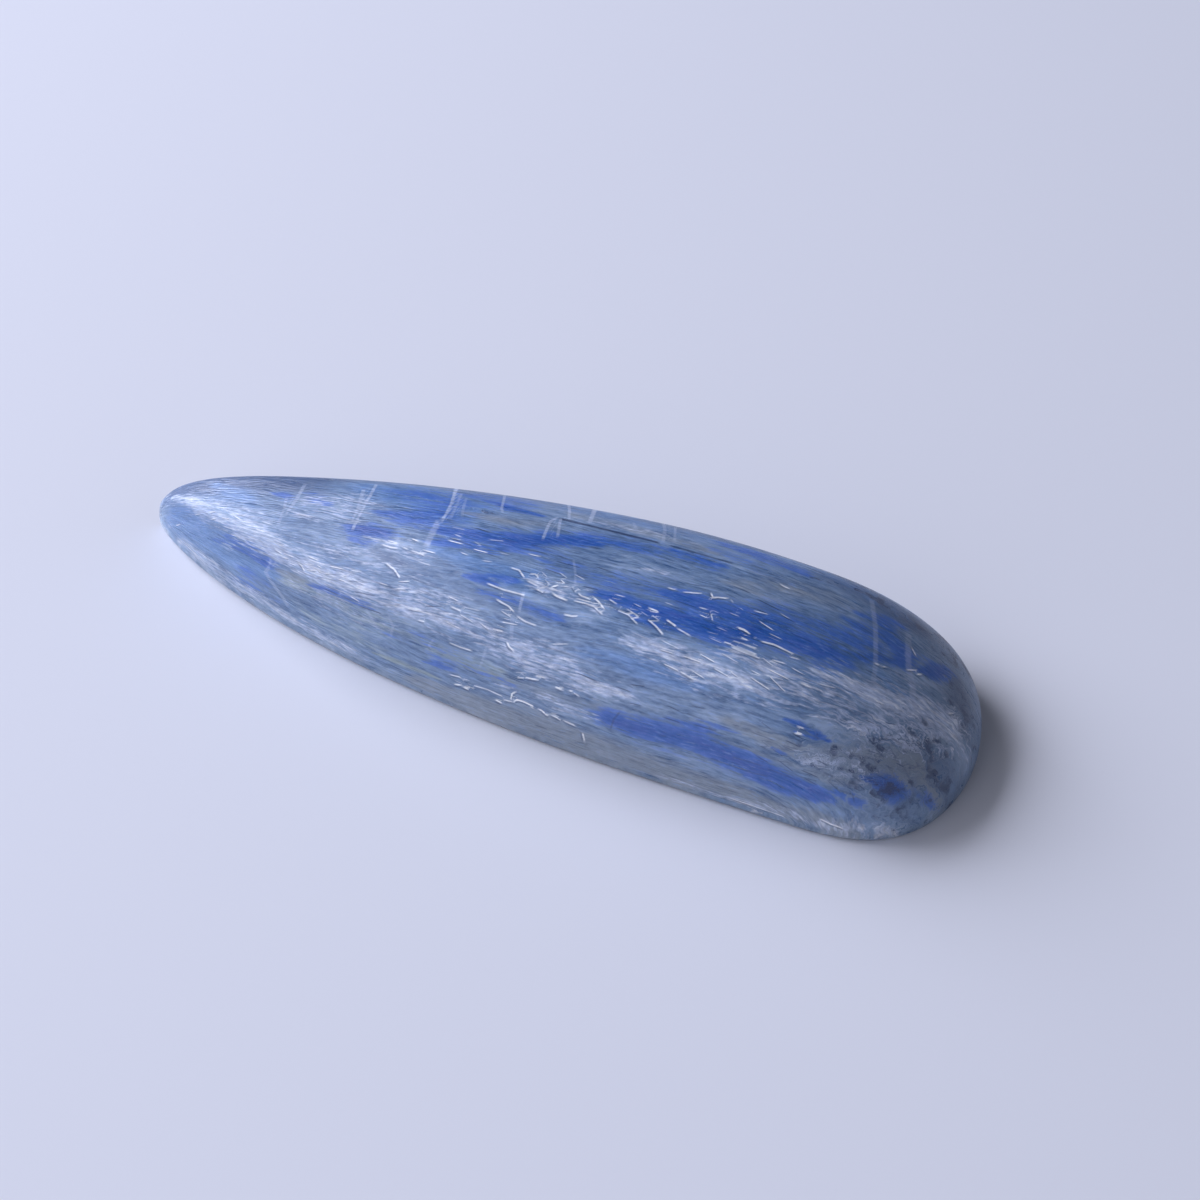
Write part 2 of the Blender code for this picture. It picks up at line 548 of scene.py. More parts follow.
PATCHES: tuple[Patch, ...] = (
    # Dull steel: the point's top face, darkened further there as painted shade against the window's reflection, the bed
    # of the first cracks, and the far shoulder
    # The point's top face: dull steel of the stone, darkened as painted shade
    Patch(Tint.DEEP, 1.00, ((-25.4, -0.1, 0.9), (-22.5, 0.15, 1.5), (-18.5, 0.25, 1.5))),
    Patch(Tint.DEEP, 0.95, ((-25.2, -0.2, 0.6), (-23.0, -0.05, 1.3), (-20.0, 0.05, 1.6), (-17.0, 0.12, 1.5), (-15.4, 0.15, 0.8))),
    Patch(Tint.DEEP, 0.70, ((-24.5, 0.35, 1.0), (-20.0, 0.45, 1.4), (-14.0, 0.4, 1.2))),
    Patch(Tint.DEEP, 0.60, ((-15.0, 0.15, 0.8), (-12.0, 0.25, 0.8), (-9.0, 0.3, 0.8), (-6.0, 0.33, 0.7))),
    Patch(Tint.DEEP, 0.85, ((-6.0, 0.42, 0.9), (0.0, 0.4, 1.3), (6.0, 0.42, 1.3), (13.0, 0.44, 1.2), (20.0, 0.44, 1.0))),
    Patch(Tint.SLATE, 0.42, ((4.0, 0.47, 0.2), (10.0, 0.48, 0.25), (16.0, 0.5, 0.3), (21.0, 0.46, 0.3))),
    # Point of the stone: azure flanks, one royal dot, and blue behind the near crack
    Patch(Tint.AZURE, 0.75, ((-24.0, -0.55, 0.8), (-21.5, -0.62, 1.3), (-18.0, -0.68, 1.3), (-16.2, -0.7, 0.8))),
    Patch(Tint.AZURE, 0.60, ((-21.0, -0.08, 0.3), (-19.2, -0.15, 0.8), (-17.8, -0.2, 0.4))),
    Patch(Tint.ROYAL, 0.70, ((-16.8, -0.08, 0.12), (-16.3, -0.08, 0.32), (-16.0, -0.09, 0.1))),
    Patch(Tint.ROYAL, 0.35, ((-14.8, -0.03, 0.3), (-13.6, -0.08, 0.3))),
    Patch(Tint.ROYAL, 0.50, ((-20.2, -0.62, 0.15), (-19.7, -0.62, 0.35))),
    Patch(Tint.ROYAL, 0.50, ((-19.0, -0.54, 0.25), (-17.5, -0.57, 0.5), (-16.2, -0.58, 0.55), (-15.8, -0.56, 0.3))),
    Patch(Tint.ROYAL, 0.80, ((-18.6, -0.61, 0.12), (-17.0, -0.61, 0.22), (-16.0, -0.62, 0.3), (-15.8, -0.6, 0.1))),
    Patch(Tint.ROYAL, 0.42, ((-18.8, -0.89, 0.2), (-16.5, -0.88, 0.3), (-14.6, -0.87, 0.2))),
    Patch(Tint.ROYAL, 0.35, ((-17.5, -0.76, 0.4), (-16.0, -0.78, 0.5))),
    Patch(Tint.VEIL_AND_PAINTED_LIGHT, 0.50, ((-19.6, -0.64, 0.15), (-19.2, -0.63, 0.35), (-18.95, -0.66, 0.15))),
    # Block of blue between the two crossing cracks near the point
    Patch(Tint.AZURE, 0.85, ((-10.7, 0.1, 1.0), (-8.5, 0.1, 1.6), (-6.6, 0.1, 1.5))),
    Patch(Tint.ROYAL, 0.75, ((-9.8, -0.07, 0.3), (-8.0, -0.05, 0.7), (-6.5, 0.0, 0.8))),
    Patch(Tint.ROYAL, 0.62, ((-9.4, 0.1, 0.6), (-8.2, 0.13, 0.9), (-6.7, 0.13, 1.0))),
    Patch(Tint.ROYAL, 1.15, ((-10.9, -0.2, 0.3), (-10.2, -0.195, 0.5), (-9.1, -0.185, 0.35))),
    Patch(Tint.ROYAL, 0.60, ((-10.8, -0.265, 0.15), (-9.9, -0.27, 0.25))),
    Patch(Tint.ROYAL, 0.60, ((-7.4, -0.115, 0.1), (-6.4, -0.11, 0.25))),
    # Far shoulder: dark blue wedge and the long royal blade that leads to the middle
    Patch(Tint.ROYAL, 0.60, ((-6.0, 0.22, 0.4), (-4.8, 0.26, 0.8), (-3.5, 0.26, 0.8), (-2.9, 0.29, 0.2))),
    Patch(Tint.ROYAL, 0.90, ((-4.6, 0.2, 0.15), (-3.0, 0.175, 0.32), (-1.0, 0.165, 0.12))),
    Patch(Tint.SLATE, 0.60, ((-5.5, 0.1, 0.06), (-3.7, 0.095, 0.13), (-2.6, 0.1, 0.04))),
    Patch(
        Tint.ROYAL,
        0.85,
        ((-6.0, -0.1, 0.3), (-4.5, -0.085, 0.45), (-3.0, -0.07, 0.5), (-2.0, -0.06, 0.62), (-1.2, -0.035, 0.62)),
    ),
    Patch(
        Tint.ROYAL,
        0.95,
        ((-1.8, -0.06, 0.4), (-0.6, -0.015, 0.42), (0.5, 0.03, 0.45), (1.6, 0.06, 0.42), (3.0, 0.075, 0.2)),
    ),
    Patch(Tint.ROYAL, 0.70, ((2.2, 0.09, 0.35), (3.6, 0.11, 0.45), (5.2, 0.125, 0.4), (6.2, 0.125, 0.2))),
    Patch(Tint.ROYAL, 0.55, ((-6.0, -0.16, 0.3), (-4.5, -0.15, 0.5), (-3.0, -0.14, 0.4), (-2.0, -0.12, 0.3))),
    Patch(Tint.AZURE, 0.70, ((-5.0, -0.22, 0.6), (-2.5, -0.23, 0.9), (-0.3, -0.24, 0.8), (0.6, -0.2, 0.4))),
    Patch(Tint.ROYAL, 0.85, ((-3.3, -0.305, 0.12), (-2.2, -0.295, 0.34), (-1.5, -0.3, 0.15))),
    Patch(Tint.ROYAL, 0.70, ((-1.7, -0.27, 0.3), (-0.7, -0.26, 0.35))),
    Patch(Tint.ROYAL, 0.62, ((-2.2, -0.35, 0.15), (-0.6, -0.355, 0.32), (1.0, -0.36, 0.28), (2.2, -0.37, 0.36), (3.2, -0.375, 0.1))),
    # Middle of the dome: broken blue under the fibres, brightest towards the round end
    Patch(Tint.ROYAL, 0.50, ((3.0, 0.12, 0.5), (5.0, 0.14, 0.6), (7.0, 0.15, 0.5), (9.4, 0.15, 0.4))),
    Patch(Tint.ROYAL, 0.70, ((7.0, 0.17, 0.2), (8.5, 0.168, 0.36), (10.0, 0.17, 0.2))),
    Patch(Tint.ROYAL, 0.42, ((0.0, -0.06, 0.5), (2.0, -0.1, 0.7), (4.0, -0.12, 0.7), (6.0, -0.12, 0.9), (8.0, -0.08, 0.9))),
    Patch(
        Tint.ROYAL,
        0.90,
        ((4.6, -0.2, 0.3), (6.0, -0.195, 0.5), (7.5, -0.215, 0.65), (9.0, -0.2, 0.75), (10.6, -0.2, 0.8)),
    ),
    Patch(Tint.ROYAL, 0.95, ((9.6, -0.19, 0.6), (11.2, -0.19, 0.65), (12.3, -0.16, 0.7), (13.4, -0.12, 0.7))),
    Patch(Tint.ROYAL, 0.75, ((7.0, -0.27, 0.2), (8.2, -0.265, 0.3), (9.2, -0.26, 0.2), (10.6, -0.245, 0.08))),
    Patch(Tint.ROYAL, 0.80, ((8.0, -0.09, 0.4), (9.5, -0.085, 0.7), (11.0, -0.09, 0.8), (12.5, -0.06, 0.8), (14.0, -0.04, 0.7))),
    Patch(Tint.ROYAL, 0.80, ((13.0, -0.11, 0.6), (14.5, -0.095, 0.8), (16.0, -0.075, 0.85), (17.2, -0.055, 0.75))),
    Patch(Tint.ROYAL, 0.66, ((16.5, -0.06, 0.7), (17.8, -0.04, 0.5), (18.8, -0.005, 0.36), (19.5, 0.05, 0.3))),
    Patch(Tint.ROYAL, 0.55, ((13.6, 0.02, 0.6), (16.0, 0.05, 0.8), (17.6, 0.06, 0.8), (19.2, 0.1, 0.6))),
    Patch(Tint.ROYAL, 0.62, ((17.2, 0.17, 0.2), (18.4, 0.17, 0.42), (19.1, 0.18, 0.25))),
    Patch(Tint.ROYAL, 0.60, ((17.9, 0.25, 0.2), (18.9, 0.27, 0.4))),
    Patch(Tint.ROYAL, 0.66, ((19.3, 0.31, 0.5), (19.9, 0.21, 0.7), (20.5, 0.21, 0.7), (20.9, 0.13, 0.35))),
    Patch(Tint.ROYAL, 0.75, ((19.6, 0.07, 0.25), (20.2, 0.08, 0.25), (20.8, 0.11, 0.3))),
    Patch(Tint.ROYAL, 0.80, ((21.8, 0.15, 0.1), (22.3, 0.19, 0.32), (22.7, 0.28, 0.35), (23.1, 0.36, 0.25))),
    Patch(Tint.AZURE, 0.55, ((20.1, -0.04, 0.5), (21.6, -0.07, 0.4))),
    # Far shoulder towards the round end
    Patch(Tint.ROYAL, 0.62, ((9.6, 0.33, 0.3), (12.0, 0.335, 0.55), (14.2, 0.33, 0.35))),
    Patch(Tint.ROYAL, 0.35, ((9.0, 0.26, 0.3), (11.5, 0.24, 0.4), (13.4, 0.22, 0.3))),
    Patch(Tint.AZURE, 0.50, ((0.0, 0.36, 1.2), (4.0, 0.36, 1.3), (8.0, 0.37, 1.2), (14.0, 0.4, 1.2), (19.0, 0.44, 1.0))),
    Patch(Tint.SLATE, 0.40, ((14.6, 0.32, 0.06), (16.2, 0.36, 0.12), (17.2, 0.41, 0.16), (18.6, 0.44, 0.3))),
    Patch(Tint.GREY, 0.55, ((0.6, 0.235, 0.3), (3.0, 0.24, 0.45), (6.5, 0.24, 0.45), (9.0, 0.24, 0.3))),
    Patch(Tint.GREY, 0.55, ((-5.0, 0.05, 0.3), (-3.0, 0.06, 0.5), (-1.0, 0.1, 0.4), (0.4, 0.12, 0.2))),
    Patch(Tint.GREY, 0.50, ((10.4, 0.08, 0.3), (12.0, 0.13, 0.8), (14.0, 0.2, 0.9), (16.0, 0.26, 0.8), (17.6, 0.27, 0.4))),
    Patch(Tint.GREY, 0.35, ((0.6, 0.14, 0.3), (2.4, 0.14, 0.3))),
    # Pale veils, some partly painted light: along the near shoulder, beside the first crack, over the round end and
    # along the lower rim
    # Near shoulder: pale fibres of the stone, with a painted highlight of the window's sheen laid into them
    Patch(
        Tint.VEIL_AND_PAINTED_LIGHT,
        0.75,
        ((-24.0, -0.24, 0.15), (-22.5, -0.27, 0.35), (-21.0, -0.33, 0.6), (-19.0, -0.36, 0.85), (-17.0, -0.4, 0.9)),
    ),
    Patch(
        Tint.VEIL_AND_PAINTED_LIGHT,
        0.90,
        ((-17.0, -0.43, 0.8), (-15.0, -0.47, 0.9), (-13.0, -0.5, 0.85), (-11.0, -0.5, 0.85), (-9.0, -0.51, 0.8)),
    ),
    Patch(
        Tint.VEIL_AND_PAINTED_LIGHT,
        0.62,
        ((-9.0, -0.5, 0.9), (-7.0, -0.52, 0.9), (-5.0, -0.53, 0.8), (-3.0, -0.54, 0.7), (-1.0, -0.54, 0.7), (1.0, -0.56, 0.8)),
    ),
    Patch(Tint.VEIL_AND_PAINTED_LIGHT, 0.70, ((1.0, -0.57, 0.8), (3.0, -0.58, 0.8), (5.0, -0.6, 0.7), (7.5, -0.6, 0.4))),
    Patch(Tint.VEIL_AND_PAINTED_LIGHT, 0.48, ((-14.6, -0.2, 0.3), (-13.2, -0.12, 0.9), (-11.9, -0.08, 0.9), (-11.4, -0.02, 0.6))),
    Patch(Tint.VEIL_AND_PAINTED_LIGHT, 0.42, ((-9.5, -0.24, 0.3), (-7.6, -0.23, 0.6), (-6.2, -0.25, 0.5))),
    Patch(Tint.VEIL_AND_PAINTED_LIGHT, 0.36, ((-12.0, -0.36, 0.5), (-9.0, -0.37, 0.7), (-6.0, -0.4, 0.5), (-3.0, -0.42, 0.3))),
    Patch(Tint.DEEP, 0.40, ((-9.0, -0.3, 0.4), (-6.0, -0.34, 0.7), (-3.0, -0.36, 0.6), (0.0, -0.4, 0.3))),
    Patch(Tint.VEIL_AND_PAINTED_LIGHT, 0.50, ((-1.4, -0.5, 0.2), (0.0, -0.49, 0.4), (0.6, -0.47, 0.2))),
    Patch(Tint.VEIL_AND_PAINTED_LIGHT, 0.64, ((6.8, -0.37, 0.3), (9.0, -0.375, 0.8), (11.0, -0.39, 1.0), (13.0, -0.38, 0.8), (15.2, -0.41, 0.5))),
    Patch(Tint.VEIL_AND_PAINTED_LIGHT, 0.85, ((5.8, -0.005, 0.08), (6.5, 0.015, 0.18), (7.3, 0.018, 0.08))),
    Patch(Tint.VEIL_AND_PAINTED_LIGHT, 0.40, ((0.6, -0.24, 0.3), (2.6, -0.24, 0.7), (4.6, -0.26, 0.4))),
    Patch(Tint.VEIL_AND_PAINTED_LIGHT, 0.32, ((1.0, 0.23, 0.3), (4.0, 0.235, 0.4), (7.5, 0.24, 0.3))),
    # Over the round end: pale veils of the stone, lightened further as painted light against the end's shade
    Patch(Tint.VEIL_AND_PAINTED_LIGHT, 0.80, ((17.0, -0.2, 0.3), (20.0, -0.17, 0.8), (22.2, -0.15, 1.1), (23.8, -0.05, 1.1))),
    Patch(Tint.VEIL_AND_PAINTED_LIGHT, 0.62, ((13.0, -0.3, 0.5), (17.0, -0.3, 1.0), (20.5, -0.34, 1.1), (22.6, -0.3, 0.7))),
    # Lower rim towards the round end: a pale edge, with a painted glow of light coming through it
    Patch(Tint.VEIL_AND_PAINTED_LIGHT, 0.60, ((10.0, -0.985, 0.12), (15.0, -0.98, 0.25), (20.0, -0.97, 0.35), (23.0, -0.96, 0.3))),
    Patch(Tint.VEIL_AND_PAINTED_LIGHT, 0.40, ((18.0, -0.62, 0.4), (20.0, -0.6, 0.6), (21.0, -0.52, 0.4))),
    # Lower rim towards the point: a pale edge, with a painted glow of light coming through it
    Patch(Tint.VEIL_AND_PAINTED_LIGHT, 0.65, ((-23.6, -0.95, 0.35), (-20.0, -0.95, 0.4), (-15.0, -0.955, 0.36), (-9.0, -0.955, 0.3))),
    Patch(Tint.VEIL_AND_PAINTED_LIGHT, 0.30, ((-13.0, -0.66, 0.9), (-10.0, -0.68, 0.9), (-7.2, -0.66, 0.7))),
    Patch(Tint.VEIL_AND_PAINTED_LIGHT, 0.30, ((-25.4, -0.3, 0.8), (-24.6, -0.7, 0.8))),
    # Near flank: blue streaks between the veil and the clear grey wall
    Patch(Tint.ROYAL, 0.55, ((-12.6, -0.625, 0.2), (-11.0, -0.6, 0.3), (-9.0, -0.6, 0.3), (-8.4, -0.61, 0.1))),
    Patch(Tint.AZURE, 0.38, ((-12.0, -0.72, 0.5), (-8.0, -0.74, 0.7), (-5.0, -0.7, 0.9), (-2.0, -0.73, 0.7))),
    Patch(Tint.SAGE, 0.40, ((-14.0, -0.68, 0.6), (-10.0, -0.7, 0.9), (-5.0, -0.7, 0.9), (0.0, -0.72, 0.7))),
    Patch(Tint.ROYAL, 0.34, ((-7.0, -0.72, 0.3), (-5.2, -0.68, 0.5), (-4.0, -0.7, 0.6), (-2.0, -0.74, 0.5), (0.5, -0.74, 0.4))),
    Patch(Tint.ROYAL, 0.62, ((-4.6, -0.79, 0.12), (-3.4, -0.775, 0.3), (-2.8, -0.76, 0.1))),
    Patch(Tint.AZURE, 0.35, ((0.0, -0.74, 0.7), (3.0, -0.74, 0.8), (7.0, -0.74, 0.7))),
    Patch(Tint.GREY, 0.45, ((0.0, -0.72, 0.5), (3.0, -0.73, 0.7), (6.0, -0.7, 0.5))),
    Patch(Tint.VEIL_AND_PAINTED_LIGHT, 0.45, ((0.6, -0.77, 0.3), (3.0, -0.76, 0.5), (6.4, -0.77, 0.3))),
    Patch(
        Tint.ROYAL,
        0.94,
        ((7.2, -0.745, 0.55), (8.5, -0.745, 0.65), (10.0, -0.73, 0.75), (11.5, -0.715, 0.75), (13.0, -0.725, 0.75)),
    ),
    Patch(
        Tint.ROYAL,
        0.94,
        ((13.0, -0.725, 0.75), (14.5, -0.735, 0.78), (16.0, -0.75, 0.75), (17.5, -0.76, 0.6), (19.6, -0.77, 0.25)),
    ),
    Patch(Tint.ROYAL, 0.60, ((10.2, -0.65, 0.15), (12.0, -0.64, 0.28), (13.3, -0.65, 0.12))),
    Patch(Tint.ROYAL, 0.80, ((15.0, -0.8, 0.25), (17.0, -0.81, 0.36), (18.3, -0.8, 0.3), (19.4, -0.79, 0.12))),
    Patch(Tint.ROYAL, 0.80, ((16.4, -0.475, 0.06), (17.3, -0.48, 0.18), (18.2, -0.487, 0.16), (18.9, -0.5, 0.05))),
    Patch(Tint.ROYAL, 0.60, ((17.1, -0.512, 0.08), (18.2, -0.515, 0.08))),
    Patch(Tint.ROYAL, 0.50, ((11.0, -0.615, 0.06), (13.0, -0.61, 0.14), (14.2, -0.61, 0.06))),
    Patch(Tint.ROYAL, 0.70, ((16.1, -0.62, 0.04), (16.5, -0.63, 0.16), (16.9, -0.63, 0.06))),
    Patch(Tint.ROYAL, 0.50, ((20.1, -0.74, 0.3), (20.8, -0.74, 0.4))),
    Patch(Tint.AZURE, 0.70, ((5.0, -0.47, 0.5), (8.0, -0.47, 0.8), (11.0, -0.46, 0.5))),
    Patch(Tint.AZURE, 0.45, ((12.0, -0.27, 0.7), (16.0, -0.24, 0.9), (19.0, -0.18, 0.6))),
    # Clear wall under the near shoulder, and its yellowish start
    Patch(Tint.GREY, 0.85, ((-5.0, -0.94, 0.5), (-2.0, -0.94, 0.95), (2.0, -0.94, 1.2), (6.0, -0.93, 1.2), (10.0, -0.93, 1.0))),
    Patch(Tint.GREY, 0.70, ((10.0, -0.93, 1.0), (14.0, -0.92, 0.85), (18.0, -0.93, 0.75), (21.0, -0.95, 0.5))),
    Patch(Tint.SAGE, 0.70, ((-8.2, -0.885, 0.12), (-6.5, -0.875, 0.3), (-4.6, -0.87, 0.25), (-3.6, -0.88, 0.08))),
    Patch(Tint.SAGE, 0.38, ((-15.0, -0.8, 0.4), (-12.0, -0.82, 0.8), (-9.0, -0.84, 0.8), (-6.0, -0.82, 0.4))),
    Patch(Tint.GREY, 0.50, ((-14.8, -0.63, 0.3), (-14.0, -0.62, 0.5), (-13.0, -0.64, 0.3))),
    Patch(Tint.GREY, 0.62, ((13.6, -0.57, 0.3), (16.0, -0.59, 0.7), (18.5, -0.6, 0.8), (21.0, -0.56, 0.8), (23.6, -0.5, 1.2))),
    Patch(Tint.GREY, 0.55, ((14.0, -0.665, 0.25), (16.0, -0.67, 0.36), (19.0, -0.67, 0.4), (20.6, -0.66, 0.3))),
    # Round end: slate mottling, dark blots, and a smooth darker zone on the end wall that is partly painted shade
    Patch(Tint.SLATE, 0.42, ((22.8, -0.28, 0.4), (23.8, -0.34, 1.2), (24.4, -0.45, 1.5), (24.6, -0.6, 1.3))),
    # Smooth darker zone on the end wall: partly the stone's own dark, partly painted shade
    Patch(Tint.DEEP, 0.45, ((22.6, -0.32, 0.5), (23.8, -0.36, 1.3), (24.6, -0.45, 1.6), (24.9, -0.6, 1.4))),
    Patch(Tint.SLATE, 0.36, ((18.5, -0.62, 0.6), (20.4, -0.55, 1.0), (22.2, -0.5, 1.3), (23.2, -0.65, 1.3), (22.6, -0.8, 1.1))),
    Patch(Tint.ROYAL, 0.95, ((21.0, -0.625, 0.1), (21.8, -0.63, 0.28), (22.3, -0.65, 0.5), (22.8, -0.64, 0.42))),
    Patch(Tint.SLATE, 0.80, ((21.2, -0.63, 0.06), (22.0, -0.635, 0.2), (22.4, -0.66, 0.34), (22.8, -0.65, 0.25))),
    Patch(Tint.SLATE, 0.90, ((23.35, -0.6, 0.12), (23.45, -0.6, 0.12))),
    Patch(Tint.ROYAL, 0.60, ((24.0, -0.7, 0.3), (24.5, -0.75, 0.35))),
    Patch(Tint.SLATE, 0.45, ((24.0, 0.35, 0.4), (24.7, 0.25, 0.6), (25.2, 0.1, 0.6))),
    Patch(Tint.DEEP, 0.50, ((23.8, 0.4, 0.6), (24.7, 0.25, 0.9), (25.3, 0.05, 0.8))),
    Patch(Tint.SLATE, 0.50, ((19.3, 0.42, 0.4), (19.9, 0.41, 0.25))),
    # Far flank, which the photograph hides, goes on with the same bands
    Patch(Tint.ROYAL, 0.55, ((-14.0, 0.55, 0.3), (-9.0, 0.6, 0.7), (-3.0, 0.62, 0.6), (1.0, 0.6, 0.2))),
    Patch(Tint.ROYAL, 0.70, ((0.0, 0.74, 0.3), (5.0, 0.72, 0.6), (11.0, 0.7, 0.7), (16.0, 0.68, 0.4))),
    Patch(Tint.ROYAL, 0.50, ((12.0, 0.52, 0.3), (16.0, 0.56, 0.6), (20.0, 0.6, 0.4))),
    Patch(Tint.VEIL_AND_PAINTED_LIGHT, 0.45, ((-20.0, 0.4, 0.4), (-12.0, 0.42, 0.8), (-4.0, 0.5, 0.6))),
    Patch(Tint.VEIL_AND_PAINTED_LIGHT, 0.40, ((2.0, 0.58, 0.4), (8.0, 0.57, 0.6), (13.0, 0.6, 0.3))),
    Patch(Tint.GREY, 0.65, ((-16.0, 0.92, 0.3), (-6.0, 0.9, 0.8), (6.0, 0.9, 1.0), (17.0, 0.9, 0.8), (21.0, 0.9, 0.5))),
    Patch(Tint.AZURE, 0.55, ((-22.0, 0.5, 0.8), (-16.0, 0.7, 1.0), (-10.0, 0.75, 0.7))),
    Patch(Tint.SLATE, 0.45, ((21.5, 0.7, 0.8), (23.6, 0.6, 1.2), (24.6, 0.7, 1.0))),
    # Back, which the photograph hides too
    Patch(Tint.ROYAL, 0.70, ((-12.0, -0.1, 0.4), (-4.0, -0.2, 0.9), (4.0, -0.25, 0.7), (9.0, -0.3, 0.2)), Side.BACK),
    Patch(Tint.ROYAL, 0.60, ((1.0, 0.4, 0.3), (9.0, 0.38, 0.9), (17.0, 0.35, 0.8), (21.0, 0.3, 0.2)), Side.BACK),
    Patch(Tint.AZURE, 0.60, ((-22.0, 0.0, 0.5), (-10.0, 0.3, 1.4), (0.0, 0.1, 1.6), (12.0, -0.1, 1.4)), Side.BACK),
    Patch(Tint.VEIL_AND_PAINTED_LIGHT, 0.50, ((-18.0, -0.4, 0.3), (-8.0, -0.6, 0.9), (4.0, -0.6, 1.0), (14.0, -0.55, 0.5)), Side.BACK),
    Patch(Tint.GREY, 0.50, ((6.0, 0.75, 0.5), (15.0, 0.7, 0.9), (22.0, 0.5, 0.8)), Side.BACK),
    Patch(Tint.SLATE, 0.40, ((19.0, -0.3, 0.8), (23.0, -0.1, 1.6)), Side.BACK),
)

CRACKS: tuple[Line, ...] = (
    # Cross cracks between the point and the middle, from left to right
    Line(0.10, 0.40, ((-15.95, -0.1), (-15.65, -0.2), (-15.5, -0.3))),
    Line(0.12, 0.45, ((-15.4, 0.03), (-15.32, -0.08), (-15.42, -0.22))),
    Line(0.13, 0.60, ((-11.75, 0.08), (-11.4, -0.04), (-11.2, -0.16))),
    Line(0.10, 0.75, ((-11.32, 0.16), (-11.15, 0.05), (-11.06, -0.12), (-11.0, -0.2))),
    Line(0.11, 0.85, ((-6.95, 0.33), (-6.6, 0.22), (-6.25, 0.11), (-6.1, 0.01), (-6.13, -0.04))),
    Line(0.20, 0.55, ((-6.3, -0.05), (-6.28, -0.12), (-6.22, -0.2))),
    Line(0.10, 0.45, ((-6.2, 0.22), (-5.92, 0.1), (-5.75, 0.0))),
    Line(0.09, 0.35, ((-5.7, 0.18), (-5.4, 0.08), (-5.2, 0.03))),
    Line(0.08, 0.60, ((-4.15, 0.38), (-3.75, 0.27), (-3.35, 0.15), (-3.2, 0.13))),
    Line(0.09, 0.65, ((-0.45, 0.42), (0.15, 0.29), (0.55, 0.2))),
    Line(0.09, 0.70, ((-0.12, 0.175), (-0.3, 0.14), (-0.22, 0.08), (-0.12, 0.02))),
    Line(0.09, 0.60, ((0.15, 0.175), (0.38, 0.11), (0.55, 0.06))),
    Line(0.13, 0.75, ((1.1, 0.44), (1.45, 0.34), (1.75, 0.22))),
    Line(0.09, 0.30, ((4.0, 0.3), (4.4, 0.25))),
    Line(0.10, 0.45, ((5.3, 0.42), (5.85, 0.31), (6.15, 0.22))),
    Line(0.08, 0.45, ((6.2, 0.38), (6.5, 0.3), (6.7, 0.25))),
    Line(0.07, 0.35, ((2.2, -0.07), (2.6, -0.13), (2.9, -0.19))),
    Line(0.09, 0.60, ((0.35, -0.31), (0.42, -0.35), (0.46, -0.38))),
    Line(0.12, 0.35, ((0.2, -0.42), (0.35, -0.48), (0.45, -0.54))),
    # The two long ones near the round end
    Line(0.15, 0.40, ((18.1, 0.38), (18.9, 0.22), (19.35, 0.1), (19.7, 0.0), (19.95, -0.12), (20.2, -0.22))),
    Line(0.20, 0.40, ((20.6, 0.33), (21.0, 0.2), (21.4, 0.1), (21.85, 0.03), (22.1, -0.06), (22.25, -0.13))),
    # Near flank by the point, and small curls in the pale flank beyond it
    Line(0.14, 0.45, ((-15.6, -0.58), (-15.75, -0.63), (-16.1, -0.69), (-15.6, -0.75), (-15.0, -0.8), (-14.5, -0.85))),
    Line(0.10, 0.30, ((-15.1, -0.55), (-15.6, -0.62))),
    Line(0.10, 0.40, ((-12.2, -0.66), (-12.15, -0.635), (-11.7, -0.625), (-11.3, -0.64))),
    Line(0.08, 0.35, ((-11.9, -0.665), (-11.5, -0.655), (-11.2, -0.66))),
    Line(0.10, 0.35, ((-8.7, -0.63), (-8.4, -0.66), (-8.1, -0.7))),
    Line(0.09, 0.35, ((-7.2, -0.62), (-6.9, -0.66), (-7.0, -0.71))),
    Line(0.08, 0.30, ((-4.3, -0.66), (-4.5, -0.69), (-4.3, -0.71))),
    Line(0.08, 0.30, ((-0.95, -0.6), (-1.05, -0.66), (-1.15, -0.7))),
)

PARTINGS: tuple[Line, ...] = (
    Line(0.09, 1.00, ((0.2, 0.178), (2.0, 0.182), (4.0, 0.185), (5.9, 0.19))),
    Line(0.07, 0.75, ((6.8, 0.195), (8.5, 0.198), (10.2, 0.205))),
    Line(0.06, 0.50, ((7.0, -0.79), (7.1, -0.74), (7.35, -0.7))),
    Line(0.05, 0.45, ((10.9, -0.594), (12.2, -0.6), (13.0, -0.612))),
    Line(0.05, 0.45, ((14.3, -0.5), (15.2, -0.503))),
    Line(0.05, 0.45, ((14.2, -0.73), (15.6, -0.725))),
    Line(0.05, 0.45, ((16.2, -0.73), (17.9, -0.735))),
    Line(0.06, 0.50, ((13.0, -0.775), (15.2, -0.78), (16.0, -0.77))),
    Line(0.05, 0.40, ((-14.0, -0.553), (-12.2, -0.56), (-10.9, -0.575))),
    Line(0.05, 0.40, ((-11.3, -0.44), (-9.0, -0.45), (-6.9, -0.465))),
    Line(0.05, 0.35, ((-6.4, -0.385), (-5.0, -0.395), (-3.0, -0.4))),
    Line(0.05, 0.35, ((0.5, -0.485), (2.6, -0.505), (5.6, -0.51))),
    Line(0.06, 0.55, ((18.3, -0.635), (18.8, -0.642))),
    Line(0.06, 0.55, ((19.1, -0.65), (19.6, -0.657))),
    Line(0.06, 0.50, ((20.2, -0.72), (20.8, -0.725), (20.9, -0.75))),
    Line(0.07, 0.50, ((21.2, -0.4), (21.9, -0.36), (22.3, -0.37))),
    Line(0.07, 0.45, ((21.9, -0.42), (22.3, -0.46))),
    Line(0.07, 0.45, ((22.6, -0.28), (23.1, -0.29))),
)
